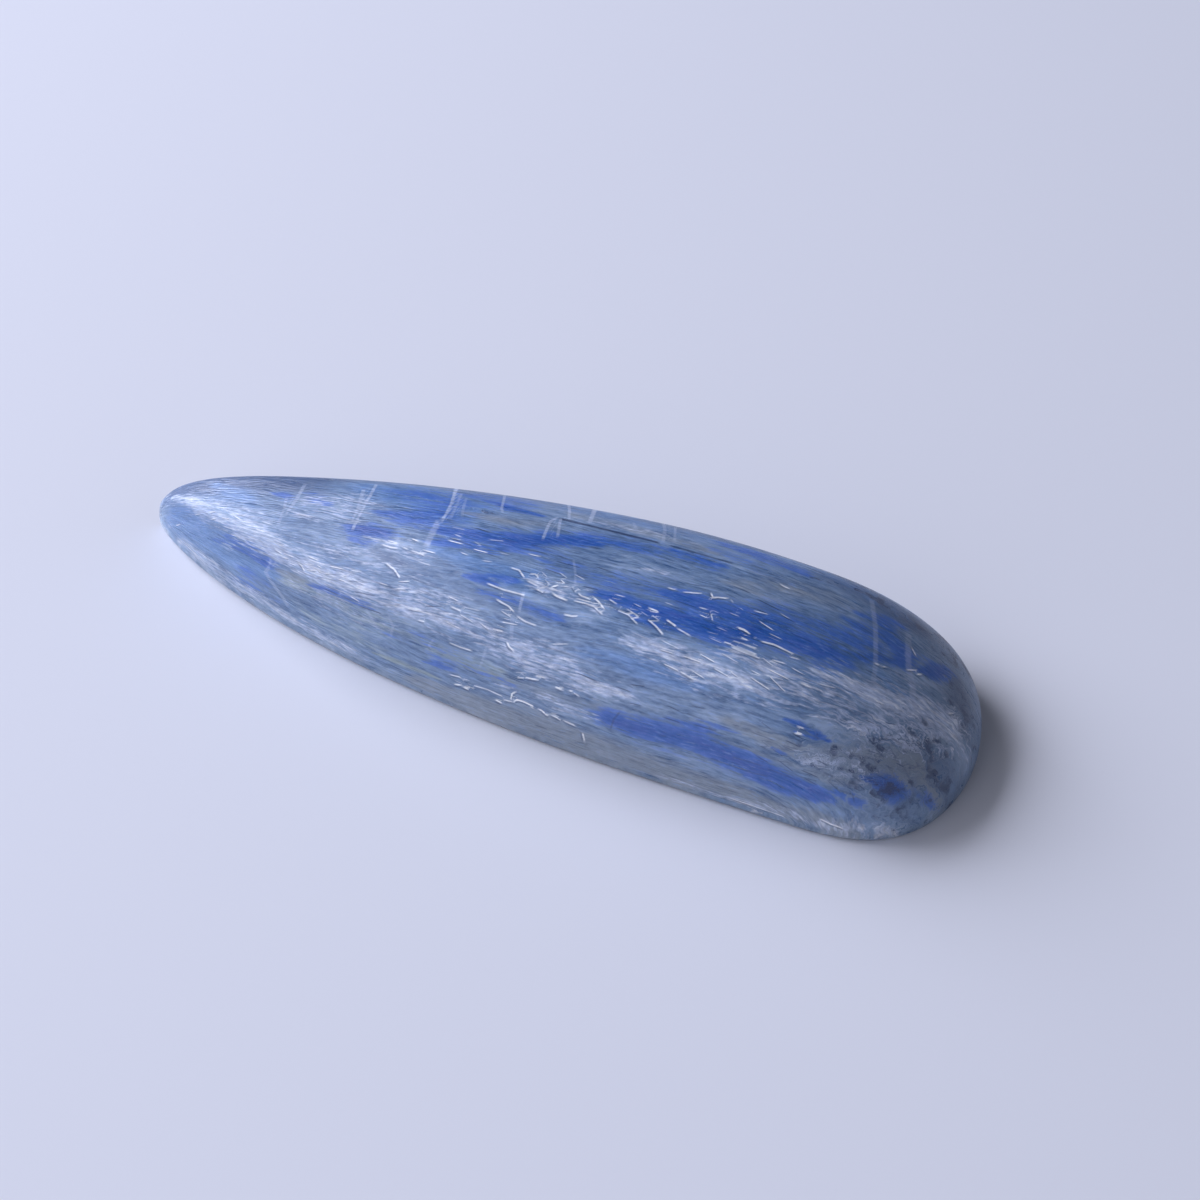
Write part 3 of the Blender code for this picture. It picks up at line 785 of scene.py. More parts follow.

# Nicks are shallow grooves, each drawn with a painted white glint and a painted shadow beside it
NICKS: tuple[Line, ...] = (
    # Bright run in the middle of the dome
    Line(0.050, 0.72, ((-0.8, -0.2), (-0.45, -0.2), (-0.1, -0.222))),
    Line(0.047, 0.65, ((0.35, -0.2), (0.55, -0.195), (0.7, -0.205))),
    Line(0.047, 0.65, ((0.4, -0.243), (0.9, -0.25))),
    Line(0.054, 0.80, ((1.05, -0.268), (1.35, -0.272), (1.8, -0.262))),
    Line(0.057, 0.88, ((1.5, -0.24), (1.85, -0.262), (2.2, -0.272), (2.7, -0.276))),
    Line(0.057, 0.88, ((1.62, -0.245), (1.8, -0.228), (1.92, -0.222))),
    Line(0.047, 0.65, ((2.3, -0.215), (2.45, -0.212))),
    Line(0.047, 0.65, ((2.9, -0.21), (3.08, -0.222))),
    Line(0.054, 0.80, ((3.3, -0.226), (3.5, -0.236), (4.05, -0.238))),
    Line(0.054, 0.80, ((4.2, -0.226), (4.55, -0.238), (4.95, -0.262))),
    Line(0.050, 0.72, ((3.4, -0.268), (3.9, -0.265), (4.45, -0.268), (4.9, -0.286))),
    Line(0.050, 0.72, ((3.15, -0.342), (3.45, -0.34), (3.6, -0.336))),
    Line(0.047, 0.65, ((5.2, -0.215), (5.9, -0.232))),
    Line(0.050, 0.72, ((5.7, -0.25), (6.4, -0.256), (6.95, -0.28))),
    Line(0.050, 0.72, ((6.3, -0.235), (6.9, -0.25))),
    Line(0.054, 0.80, ((7.45, -0.195), (7.8, -0.197), (8.35, -0.216))),
    Line(0.057, 0.88, ((8.35, -0.218), (8.8, -0.232), (9.1, -0.24))),
    Line(0.054, 0.80, ((7.6, -0.252), (8.1, -0.27), (8.5, -0.29))),
    Line(0.047, 0.65, ((9.2, -0.248), (9.9, -0.26))),
    Line(0.043, 0.57, ((7.65, -0.225), (8.0, -0.235))),
    # Fine edges over the blue towards the round end
    Line(0.050, 0.72, ((7.9, -0.055), (8.7, -0.05), (9.45, -0.03))),
    Line(0.054, 0.80, ((10.15, -0.015), (10.3, -0.03), (10.45, -0.018), (11.1, 0.0))),
    Line(0.050, 0.72, ((11.15, 0.0), (11.45, -0.018), (11.75, -0.022))),
    Line(0.047, 0.65, ((10.0, -0.105), (10.45, -0.1), (10.75, -0.14))),
    Line(0.063, 1.00, ((11.9, -0.14), (12.6, -0.138), (13.1, -0.152), (13.5, -0.164))),
    Line(0.054, 0.80, ((13.5, -0.165), (14.4, -0.152), (15.4, -0.157))),
    Line(0.050, 0.72, ((12.0, -0.236), (12.9, -0.234), (13.7, -0.236))),
    Line(0.047, 0.65, ((12.5, -0.25), (13.9, -0.251))),
    Line(0.047, 0.65, ((12.4, -0.215), (13.5, -0.208))),
    Line(0.047, 0.65, ((14.7, -0.232), (15.2, -0.226))),
    Line(0.043, 0.57, ((15.5, -0.178), (15.8, -0.175))),
    Line(0.050, 0.72, ((16.65, -0.285), (16.95, -0.285))),
    Line(0.043, 0.57, ((17.5, -0.246), (18.1, -0.235))),
    Line(0.047, 0.65, ((13.4, 0.19), (13.7, 0.188))),
    Line(0.054, 0.80, ((17.22, -0.485), (17.32, -0.485))),
    Line(0.059, 0.95, ((17.2, -0.517), (17.32, -0.515))),
    Line(0.054, 0.80, ((19.75, 0.018), (19.85, 0.02))),
    Line(0.050, 0.72, ((20.05, 0.022), (20.1, 0.025))),
    Line(0.059, 0.95, ((21.88, 0.13), (21.93, 0.135))),
    Line(0.050, 0.72, ((21.35, 0.11), (21.65, 0.14))),
    Line(0.050, 0.72, ((21.1, 0.26), (21.3, 0.245))),
    Line(0.047, 0.65, ((24.1, 0.06), (24.2, 0.08))),
    Line(0.047, 0.65, ((20.5, -0.19), (20.7, -0.188))),
    # Left of the middle
    Line(0.050, 0.72, ((-8.7, -0.255), (-8.3, -0.258), (-8.0, -0.256))),
    Line(0.047, 0.65, ((-7.4, -0.245), (-6.2, -0.255))),
    Line(0.050, 0.72, ((-8.0, -0.352), (-7.5, -0.368), (-7.1, -0.395))),
    Line(0.050, 0.72, ((-1.7, -0.31), (-0.8, -0.316), (0.3, -0.312))),
    Line(0.050, 0.72, ((-0.9, -0.37), (-0.2, -0.382), (0.3, -0.405))),
    Line(0.047, 0.65, ((0.3, -0.41), (1.0, -0.425), (1.5, -0.427))),
    Line(0.050, 0.72, ((-0.95, -0.505), (-0.3, -0.5))),
    Line(0.057, 0.88, ((0.3, -0.548), (0.42, -0.56), (0.6, -0.566))),
    Line(0.050, 0.72, ((-3.55, -0.463), (-3.0, -0.468))),
    Line(0.050, 0.72, ((-4.2, -0.465), (-3.9, -0.47))),
    Line(0.050, 0.72, ((-5.2, -0.577), (-5.05, -0.575))),
    Line(0.047, 0.65, ((-9.7, -0.585), (-9.4, -0.59))),
    Line(0.050, 0.72, ((-13.55, -0.5), (-13.3, -0.515), (-13.2, -0.53))),
    Line(0.047, 0.65, ((-15.1, -0.48), (-14.9, -0.483))),
    Line(0.047, 0.65, ((10.3, -0.43), (10.9, -0.44))),
    # Two rows down the near shoulder
    Line(0.050, 0.72, ((1.3, -0.69), (1.55, -0.684))),
    Line(0.059, 0.95, ((1.7, -0.678), (2.1, -0.674), (2.4, -0.668))),
    Line(0.050, 0.72, ((2.4, -0.65), (2.7, -0.648))),
    Line(0.063, 1.00, ((3.0, -0.68), (3.5, -0.676), (4.05, -0.678))),
    Line(0.057, 0.88, ((4.1, -0.672), (4.5, -0.668))),
    Line(0.047, 0.65, ((4.65, -0.675), (4.8, -0.678))),
    Line(0.050, 0.72, ((-3.05, -0.64), (-2.5, -0.643), (-1.95, -0.64))),
    Line(0.054, 0.80, ((0.6, -0.842), (0.95, -0.838))),
    Line(0.057, 0.88, ((0.9, -0.815), (0.92, -0.79), (1.05, -0.78))),
    Line(0.059, 0.95, ((1.1, -0.83), (1.25, -0.815), (1.7, -0.812), (2.3, -0.82))),
    Line(0.059, 0.95, ((2.4, -0.825), (2.8, -0.826), (3.15, -0.845), (3.2, -0.83))),
    Line(0.057, 0.88, ((3.25, -0.832), (3.7, -0.836), (4.0, -0.845))),
    Line(0.054, 0.80, ((4.1, -0.84), (4.75, -0.846))),
    Line(0.050, 0.72, ((-2.9, -0.815), (-2.4, -0.808), (-2.15, -0.82), (-2.1, -0.845))),
    Line(0.063, 1.00, ((-2.6, -0.862), (-2.35, -0.855))),
    Line(0.068, 1.00, ((-2.12, -0.86), (-1.88, -0.862))),
    Line(0.068, 1.00, ((0.05, -0.866), (0.18, -0.868))),
    Line(0.057, 0.88, ((5.38, -0.885), (5.45, -0.91))),
    Line(0.047, 0.65, ((-1.4, -0.825), (-0.6, -0.82), (0.2, -0.825))),
    # Chips of the lower rim
    Line(0.054, 0.80, ((19.5, -0.925), (19.9, -0.94), (20.5, -0.95))),
    Line(0.043, 0.57, ((14.4, -0.977), (16.0, -0.98), (17.2, -0.985))),
)

# Swarms of small nicks, drawn the same way, with painted glints and painted shadows
NICK_SWARMS: tuple[LineSwarm, ...] = (
    LineSwarm(middle=(1.9, -0.2), spread=(1.6, 0.9), count=16, longest=0.35, slope=-0.35, seed=11),
    LineSwarm(middle=(6.6, -0.22), spread=(1.8, 0.6), count=12, longest=0.4, slope=-0.3, seed=12),
    LineSwarm(middle=(-7.4, -0.23), spread=(1.6, 0.6), count=12, longest=0.5, slope=-0.1, seed=13),
    LineSwarm(middle=(-3.0, -0.47), spread=(5.0, 1.0), count=26, longest=0.8, slope=-0.05, seed=14),
    LineSwarm(middle=(13.0, -0.3), spread=(3.0, 1.0), count=24, longest=0.9, slope=-0.12, seed=15),
    LineSwarm(middle=(-13.0, -0.5), spread=(2.4, 0.6), count=14, longest=0.5, slope=0.1, seed=16),
    LineSwarm(middle=(3.0, -0.67), spread=(1.8, 0.3), count=10, longest=0.4, slope=0.0, seed=17),
    LineSwarm(middle=(2.6, -0.82), spread=(1.9, 0.25), count=14, longest=0.4, slope=0.0, seed=18),
    LineSwarm(middle=(-2.0, -0.82), spread=(1.0, 0.35), count=12, longest=0.5, slope=0.0, seed=19),
    LineSwarm(middle=(8.0, 0.6), spread=(9.0, 2.4), count=34, longest=0.8, slope=0.05, seed=20),
    LineSwarm(middle=(12.0, -0.1), spread=(5.0, 1.6), count=30, longest=0.6, slope=-0.05, seed=21),
    LineSwarm(middle=(-11.0, -0.47), spread=(5.0, 0.6), count=50, longest=0.6, slope=-0.03, seed=22),
    LineSwarm(middle=(-19.0, -0.36), spread=(3.0, 0.35), count=26, longest=0.5, slope=-0.05, seed=23),
    LineSwarm(middle=(10.5, -0.38), spread=(2.6, 0.9), count=36, longest=0.9, slope=-0.12, seed=24),
    LineSwarm(middle=(-4.0, -0.12), spread=(3.0, 1.0), count=20, longest=0.6, slope=-0.05, seed=25),
)

# Short dark gaps between fibres
DASH_SWARMS: tuple[LineSwarm, ...] = (
    LineSwarm(middle=(11.0, -0.6), spread=(5.0, 0.8), count=60, longest=1.3, slope=0.0, seed=31),
    LineSwarm(middle=(17.5, -0.62), spread=(3.0, 1.2), count=60, longest=0.8, slope=0.0, seed=32),
    LineSwarm(middle=(14.0, 0.0), spread=(6.0, 2.6), count=50, longest=1.1, slope=0.0, seed=33),
    LineSwarm(middle=(2.0, -0.1), spread=(6.0, 2.2), count=50, longest=1.2, slope=0.0, seed=34),
    LineSwarm(middle=(-9.0, -0.55), spread=(6.0, 1.2), count=60, longest=1.2, slope=0.0, seed=35),
    LineSwarm(middle=(6.0, 0.6), spread=(10.0, 2.4), count=50, longest=1.4, slope=0.0, seed=36),
    LineSwarm(middle=(21.5, -0.45), spread=(1.8, 2.4), count=50, longest=0.5, slope=0.2, seed=37),
)


@dataclass(frozen=True)
class FibrousKyanite:
    """Blue kyanite, ground and polished: a glassy skin over parallel fibres, soft and pearly.

    The eye gets long parallel streaks of steel blue, royal blue blades with frayed ends, pale
    pearly veils, and a broad silky highlight broken by the fibres; along the near shoulder that
    highlight is partly painted into the veils' colour, and the nicks get painted white glints with
    painted shadows beside them. The back was only ground, so it is duller.
    """

    name: str = "kyanite_polished"
    steel: str = "#7c95b4"
    steel_pale: str = "#a6b7cc"
    steel_deep: str = "#5f7da6"
    deep: str = "#435d83"
    royal: str = "#3d6fbd"
    royal_deep: str = "#1f4a9c"
    azure: str = "#6d93c2"
    veil_and_painted_light: str = "#c3cde0"
    bright_veil_and_highlight: str = "#e9eef8"
    grey: str = "#909aa6"
    sage: str = "#a9b5b0"
    slate: str = "#304468"
    break_and_glint: str = "#ffffff"
    ior: float = 1.72
    roughness: float = 0.30
    back_roughness: float = 0.55
    broad_band: tuple[float, float] = (7.0, 0.75)
    cloud: tuple[float, float] = (2.6, 1.0)
    strand: tuple[float, float] = (2.4, 0.21)
    thread: tuple[float, float] = (1.1, 0.09)
    fleck: tuple[float, float] = (0.55, 0.13)
    mottle: tuple[float, float] = (0.95, 0.75)
    sway: tuple[float, float] = (4.0, 1.6)
    sway_width: float = 0.22
    end_jolt: float = 3.0
    bump_height: float = 0.03
    line_wander: float = 0.5
    glow_weight: float = 1.0
    glow_depth: float = 4.0

    def streaks(
        self, tree: bpy.types.NodeTree, fibre: bpy.types.NodeSocket, size: tuple[float, float], detail: float
    ) -> bpy.types.NodeSocket:
        """Noise drawn out along the fibres.

        Args:
            tree: the material's nodes.
            fibre: fibre coordinates in millimetres.
            size: length and width of a streak in millimetres.
            detail: octaves of finer noise.

        Returns:
            The noise, spread evenly about zero, mostly within half either way.
        """
        length, width = size
        scale = (1.0 / length, 1.0 / width, 1.0 / width)
        place = add_node(tree, "ShaderNodeVectorMath", {"operation": "MULTIPLY"}, {0: fibre, 1: scale})
        inputs = {"Vector": place.outputs[0], "Scale": 1.0, "Detail": detail, "Roughness": 0.55}
        pattern = add_node(tree, "ShaderNodeTexNoise", inputs=inputs).outputs[0]
        inputs = {"Value": pattern, "From Min": 0.28, "From Max": 0.72, "To Min": -0.5, "To Max": 0.5}
        return add_node(tree, "ShaderNodeMapRange", {"clamp": False}, inputs).outputs[0]

    def weighed(
        self, tree: bpy.types.NodeTree, parts: Sequence[tuple[bpy.types.NodeSocket, float]]
    ) -> bpy.types.NodeSocket:
        """Weighted sum of noises.

        Args:
            tree: the material's nodes.
            parts: noise sockets with their weights.

        Returns:
            The sum.
        """
        total: bpy.types.NodeSocket | float = 0.0
        for pattern, weight in parts:
            inputs = {0: pattern, 1: weight, 2: total}
            total = add_node(tree, "ShaderNodeMath", {"operation": "MULTIPLY_ADD"}, inputs).outputs[0]
        return total

    def ramp(
        self, tree: bpy.types.NodeTree, value: bpy.types.NodeSocket, edge: tuple[float, float], most: float = 1.0
    ) -> bpy.types.NodeSocket:
        """Eased step of a value.

        Args:
            tree: the material's nodes.
            value: the value.
            edge: values where the step starts and where it is full.
            most: height of the full step.

        Returns:
            The step.
        """
        settings = {"interpolation_type": "SMOOTHSTEP"}
        inputs = {"Value": value, "From Min": edge[0], "From Max": edge[1], "To Max": most}
        return add_node(tree, "ShaderNodeMapRange", settings, inputs).outputs[0]

    def frayed(
        self,
        tree: bpy.types.NodeTree,
        tint: Tint,
        fray: bpy.types.NodeSocket,
        push: float,
        edge: tuple[float, float],
        most: float,
    ) -> bpy.types.NodeSocket:
        """Mask of one tint, its edge frayed by the fibres.

        Args:
            tree: the material's nodes.
            tint: the tint, whose field on the mesh is used.
            fray: noise about zero.
            push: how far the noise moves the edge.
            edge: values of the field where the mask starts and where it is full.
            most: strength of the full mask.

        Returns:
            The mask.
        """
        value = add_node(tree, "ShaderNodeAttribute", {"attribute_name": tint.value}).outputs["Fac"]
        ragged = self.ramp(tree, self.weighed(tree, [(fray, push), (value, 1.0)]), edge, most)
        near = self.ramp(tree, value, (0.02, 0.22))
        return add_node(tree, "ShaderNodeMath", {"operation": "MULTIPLY"}, {0: ragged, 1: near}).outputs[0]

    def drawn(
        self, tree: bpy.types.NodeTree, name: str, wander: bpy.types.NodeSocket, shift: float, most: float
    ) -> bpy.types.NodeSocket:
        """Mask of one kind of fine line.

        Args:
            tree: the material's nodes.
            name: name of the line's fields on the mesh.
            wander: noise about zero that makes the line wander and swell.
            shift: how many half widths beside the line the mask lies.
            most: strength of the full mask.

        Returns:
            The mask.
        """
        across = add_node(tree, "ShaderNodeAttribute", {"attribute_name": name + "_across"}).outputs["Fac"]
        shown = add_node(tree, "ShaderNodeAttribute", {"attribute_name": name + "_strength"}).outputs["Fac"]
        inputs = {0: wander, 1: self.line_wander, 2: across}
        moved = add_node(tree, "ShaderNodeMath", {"operation": "MULTIPLY_ADD"}, inputs).outputs[0]
        beside = add_node(tree, "ShaderNodeMath", {"operation": "ADD"}, {0: moved, 1: shift}).outputs[0]
        apart = add_node(tree, "ShaderNodeMath", {"operation": "ABSOLUTE"}, {0: beside}).outputs[0]
        line = self.ramp(tree, apart, (1.35, 0.55), most)
        return add_node(tree, "ShaderNodeMath", {"operation": "MULTIPLY"}, {0: line, 1: shown}).outputs[0]

    def make(self) -> bpy.types.Material:
        """Builds the material.

        Returns:
            The finished material.
        """
        material = bpy.data.materials.new(self.name)
        material.use_nodes = True
        tree = material.node_tree
        tree.nodes.clear()
        straight = add_node(tree, "ShaderNodeAttribute", {"attribute_name": "fibre"}).outputs["Vector"]
        swaying = self.streaks(tree, straight, self.sway, 1.0)
        place = add_node(tree, "ShaderNodeTexCoord").outputs["Object"]
        scaled = add_node(tree, "ShaderNodeVectorMath", {"operation": "SCALE"}, {0: place, "Scale": 1.0 / MM})
        mottle = self.streaks(tree, scaled.outputs[0], self.mottle, 5.0)
        end_on = add_node(tree, "ShaderNodeAttribute", {"attribute_name": Tint.SLATE.value}).outputs["Fac"]
        broken = add_node(tree, "ShaderNodeMath", {"operation": "MULTIPLY"}, {0: mottle, 1: end_on}).outputs[0]
        jolt = self.weighed(tree, [(broken, self.end_jolt)])
        sideways = self.weighed(tree, [(swaying, self.sway_width), (jolt, 1.0)])
        aside = add_node(tree, "ShaderNodeCombineXYZ", inputs={0: jolt, 1: sideways})
        fibre = add_node(tree, "ShaderNodeVectorMath", {"operation": "ADD"}, {0: straight, 1: aside.outputs[0]}).outputs[0]
        broad = self.streaks(tree, fibre, self.broad_band, 2.0)
        cloud = self.streaks(tree, fibre, self.cloud, 3.0)
        strand = self.streaks(tree, fibre, self.strand, 3.0)
        thread = self.streaks(tree, fibre, self.thread, 2.0)
        fleck = self.streaks(tree, fibre, self.fleck, 3.0)
        # Mask of the painted glints on the nicks
        glint = self.drawn(tree, "nick", thread, 0.0, 1.0)
        colour = self.colour(tree, broad, cloud, strand, thread, fleck, mottle, glint)
        rough = self.dulling(tree, strand)
        height = self.weighed(tree, [(strand, 1.0), (thread, 0.8), (fleck, 0.4)])
        inputs = {"Height": height, "Strength": 1.0, "Distance": self.bump_height * MM}
        relief = add_node(tree, "ShaderNodeBump", inputs=inputs).outputs[0]
        shader = add_node(
            tree,
            "ShaderNodeBsdfPrincipled",
            inputs={"Base Color": colour, "Roughness": rough, "Normal": relief, "IOR": self.ior, "Metallic": 0.0},
        )
        # Under the painted glints the subsurface glow is turned off, so that they stay bright
        closed = add_node(tree, "ShaderNodeMath", {"operation": "MULTIPLY_ADD"}, {0: glint, 1: -self.glow_weight, 2: self.glow_weight})
        tree.links.new(closed.outputs[0], shader.inputs["Subsurface Weight"])
        shader.inputs["Subsurface Radius"].default_value = (0.8, 0.9, 1.0)
        shader.inputs["Subsurface Scale"].default_value = self.glow_depth * MM
        add_node(tree, "ShaderNodeOutputMaterial", inputs={"Surface": shader.outputs[0]})
        return material

    def colour(
        self,
        tree: bpy.types.NodeTree,
        broad: bpy.types.NodeSocket,
        cloud: bpy.types.NodeSocket,
        strand: bpy.types.NodeSocket,
        thread: bpy.types.NodeSocket,
        fleck: bpy.types.NodeSocket,
        mottle: bpy.types.NodeSocket,
        glint: bpy.types.NodeSocket,
    ) -> bpy.types.NodeSocket:
        """Colour of the stone, from its body up to the fresh breaks, with light and shade painted in:
        painted sheen, light and glow in some veils, painted shade on the point's top face and end wall,
        and painted glints on the nicks with painted shadows beside them.

        Args:
            tree: the material's nodes.
            broad: wide fibre bands.
            cloud: soft clouds.
            strand: fibre strands.
            thread: finest fibres.
            fleck: short broken fibres.
            mottle: grain of the round end.
            glint: mask of the fresh breaks, where a white glint is painted.

        Returns:
            The colour.
        """
        fray = self.weighed(tree, [(strand, 0.55), (thread, 0.35), (cloud, 0.35), (fleck, 0.15)])
        gaps = self.weighed(tree, [(strand, -0.6), (thread, -0.5), (cloud, 0.2), (fleck, 0.3)])
        clear = add_node(tree, "ShaderNodeAttribute", {"attribute_name": Tint.DEEP.value}).outputs["Fac"]
        bright = self.weighed(tree, [(thread, 0.7), (fleck, 0.6), (clear, -0.4)])
        pale = self.weighed(tree, [(gaps, 1.0), (clear, -0.4)])
        soft = self.weighed(tree, [(broad, 0.5), (strand, 0.4), (cloud, 0.4)])
        specks = self.weighed(tree, [(mottle, 0.9), (thread, 0.3), (fleck, 0.3)])
        layers: list[tuple[bpy.types.NodeSocket, str]] = [
            (self.ramp(tree, soft, (-0.1, 0.4), 0.65), self.steel_pale),
            (self.ramp(tree, fray, (0.0, -0.4), 0.75), self.steel_deep),
            # Dull steel, which on the point's top face and the end wall is partly painted shade
            (self.frayed(tree, Tint.DEEP, soft, 0.5, (0.15, 0.8), 0.9), self.deep),
            (self.frayed(tree, Tint.AZURE, soft, 0.6, (0.2, 0.75), 0.85), self.azure),
            (self.frayed(tree, Tint.GREY, soft, 0.6, (0.2, 0.7), 0.85), self.grey),
            (self.frayed(tree, Tint.SAGE, soft, 0.6, (0.2, 0.6), 0.8), self.sage),
            (self.frayed(tree, Tint.ROYAL, fray, 1.2, (0.14, 0.7), 0.92), self.royal),
            (self.frayed(tree, Tint.ROYAL, fray, 1.1, (0.65, 1.25), 0.75), self.royal_deep),
            (self.ramp(tree, bright, (0.2, 0.42), 0.4), self.azure),
            (self.ramp(tree, pale, (0.18, 0.5), 0.45), self.steel_pale),
            # Pale veils, which carry a painted highlight along the near shoulder, painted light over the round end and
            # a painted glow along the lower rim
            (self.frayed(tree, Tint.VEIL_AND_PAINTED_LIGHT, gaps, 1.5, (0.25, 0.8), 0.9), self.veil_and_painted_light),
            # Densest veils in brighter white, mostly the painted highlight's streaks along the near shoulder
            (self.frayed(tree, Tint.VEIL_AND_PAINTED_LIGHT, gaps, 1.9, (0.85, 1.3), 0.9), self.bright_veil_and_highlight),
            (self.frayed(tree, Tint.SLATE, specks, 1.3, (0.36, 0.82), 0.85), self.slate),
            (self.drawn(tree, "parting", strand, 0.0, 0.8), self.slate),
            (self.drawn(tree, "crack", thread, 0.0, 0.8), self.veil_and_painted_light),
            # Painted shadow: a dark line beside each nick
            (self.drawn(tree, "nick", thread, 2.0, 0.55), self.slate),
            # Fresh breaks, white in themselves, with a painted glint on them
            (glint, self.break_and_glint),
        ]
        colour: bpy.types.NodeSocket | Colour = linear(self.steel)
        for mask, paint in layers:
            inputs = {0: mask, 6: colour, 7: linear(paint)}
            colour = add_node(tree, "ShaderNodeMix", {"data_type": "RGBA"}, inputs).outputs[2]
        grain = self.weighed(tree, [(thread, 0.55), (strand, 0.55), (cloud, 0.35), (fleck, 0.6)])
        end_on = add_node(tree, "ShaderNodeAttribute", {"attribute_name": Tint.SLATE.value}).outputs["Fac"]
        hidden = self.weighed(tree, [(clear, -0.6), (end_on, -0.9)])
        shown = add_node(tree, "ShaderNodeMath", {"operation": "ADD", "use_clamp": True}, {0: hidden, 1: 1.0})
        limits = {"Value": grain, "From Min": -0.5, "From Max": 0.5}
        value = add_node(tree, "ShaderNodeMapRange", inputs=limits | {"To Min": 0.70, "To Max": 1.28}).outputs[0]
        depth = add_node(tree, "ShaderNodeMapRange", inputs=limits | {"To Min": 1.12, "To Max": 0.88}).outputs[0]
        inputs = {"Fac": shown.outputs[0], "Saturation": depth, "Value": value, "Color": colour}
        return add_node(tree, "ShaderNodeHueSaturation", inputs=inputs).outputs[0]

    def dulling(self, tree: bpy.types.NodeTree, strand: bpy.types.NodeSocket) -> bpy.types.NodeSocket:
        """Roughness: polished dome, duller along some fibres, ground back.

        Args:
            tree: the material's nodes.
            strand: fibre strands.

        Returns:
            The roughness.
        """
        back = add_node(tree, "ShaderNodeAttribute", {"attribute_name": "back"}).outputs["Fac"]
        inputs = {"Value": strand, "From Min": -0.5, "From Max": 0.5}
        inputs |= {"To Min": self.roughness - 0.05, "To Max": self.roughness + 0.1}
        polished = add_node(tree, "ShaderNodeMapRange", inputs=inputs).outputs[0]
        return add_node(tree, "ShaderNodeMix", inputs={0: back, 2: polished, 3: self.back_roughness}).outputs[0]


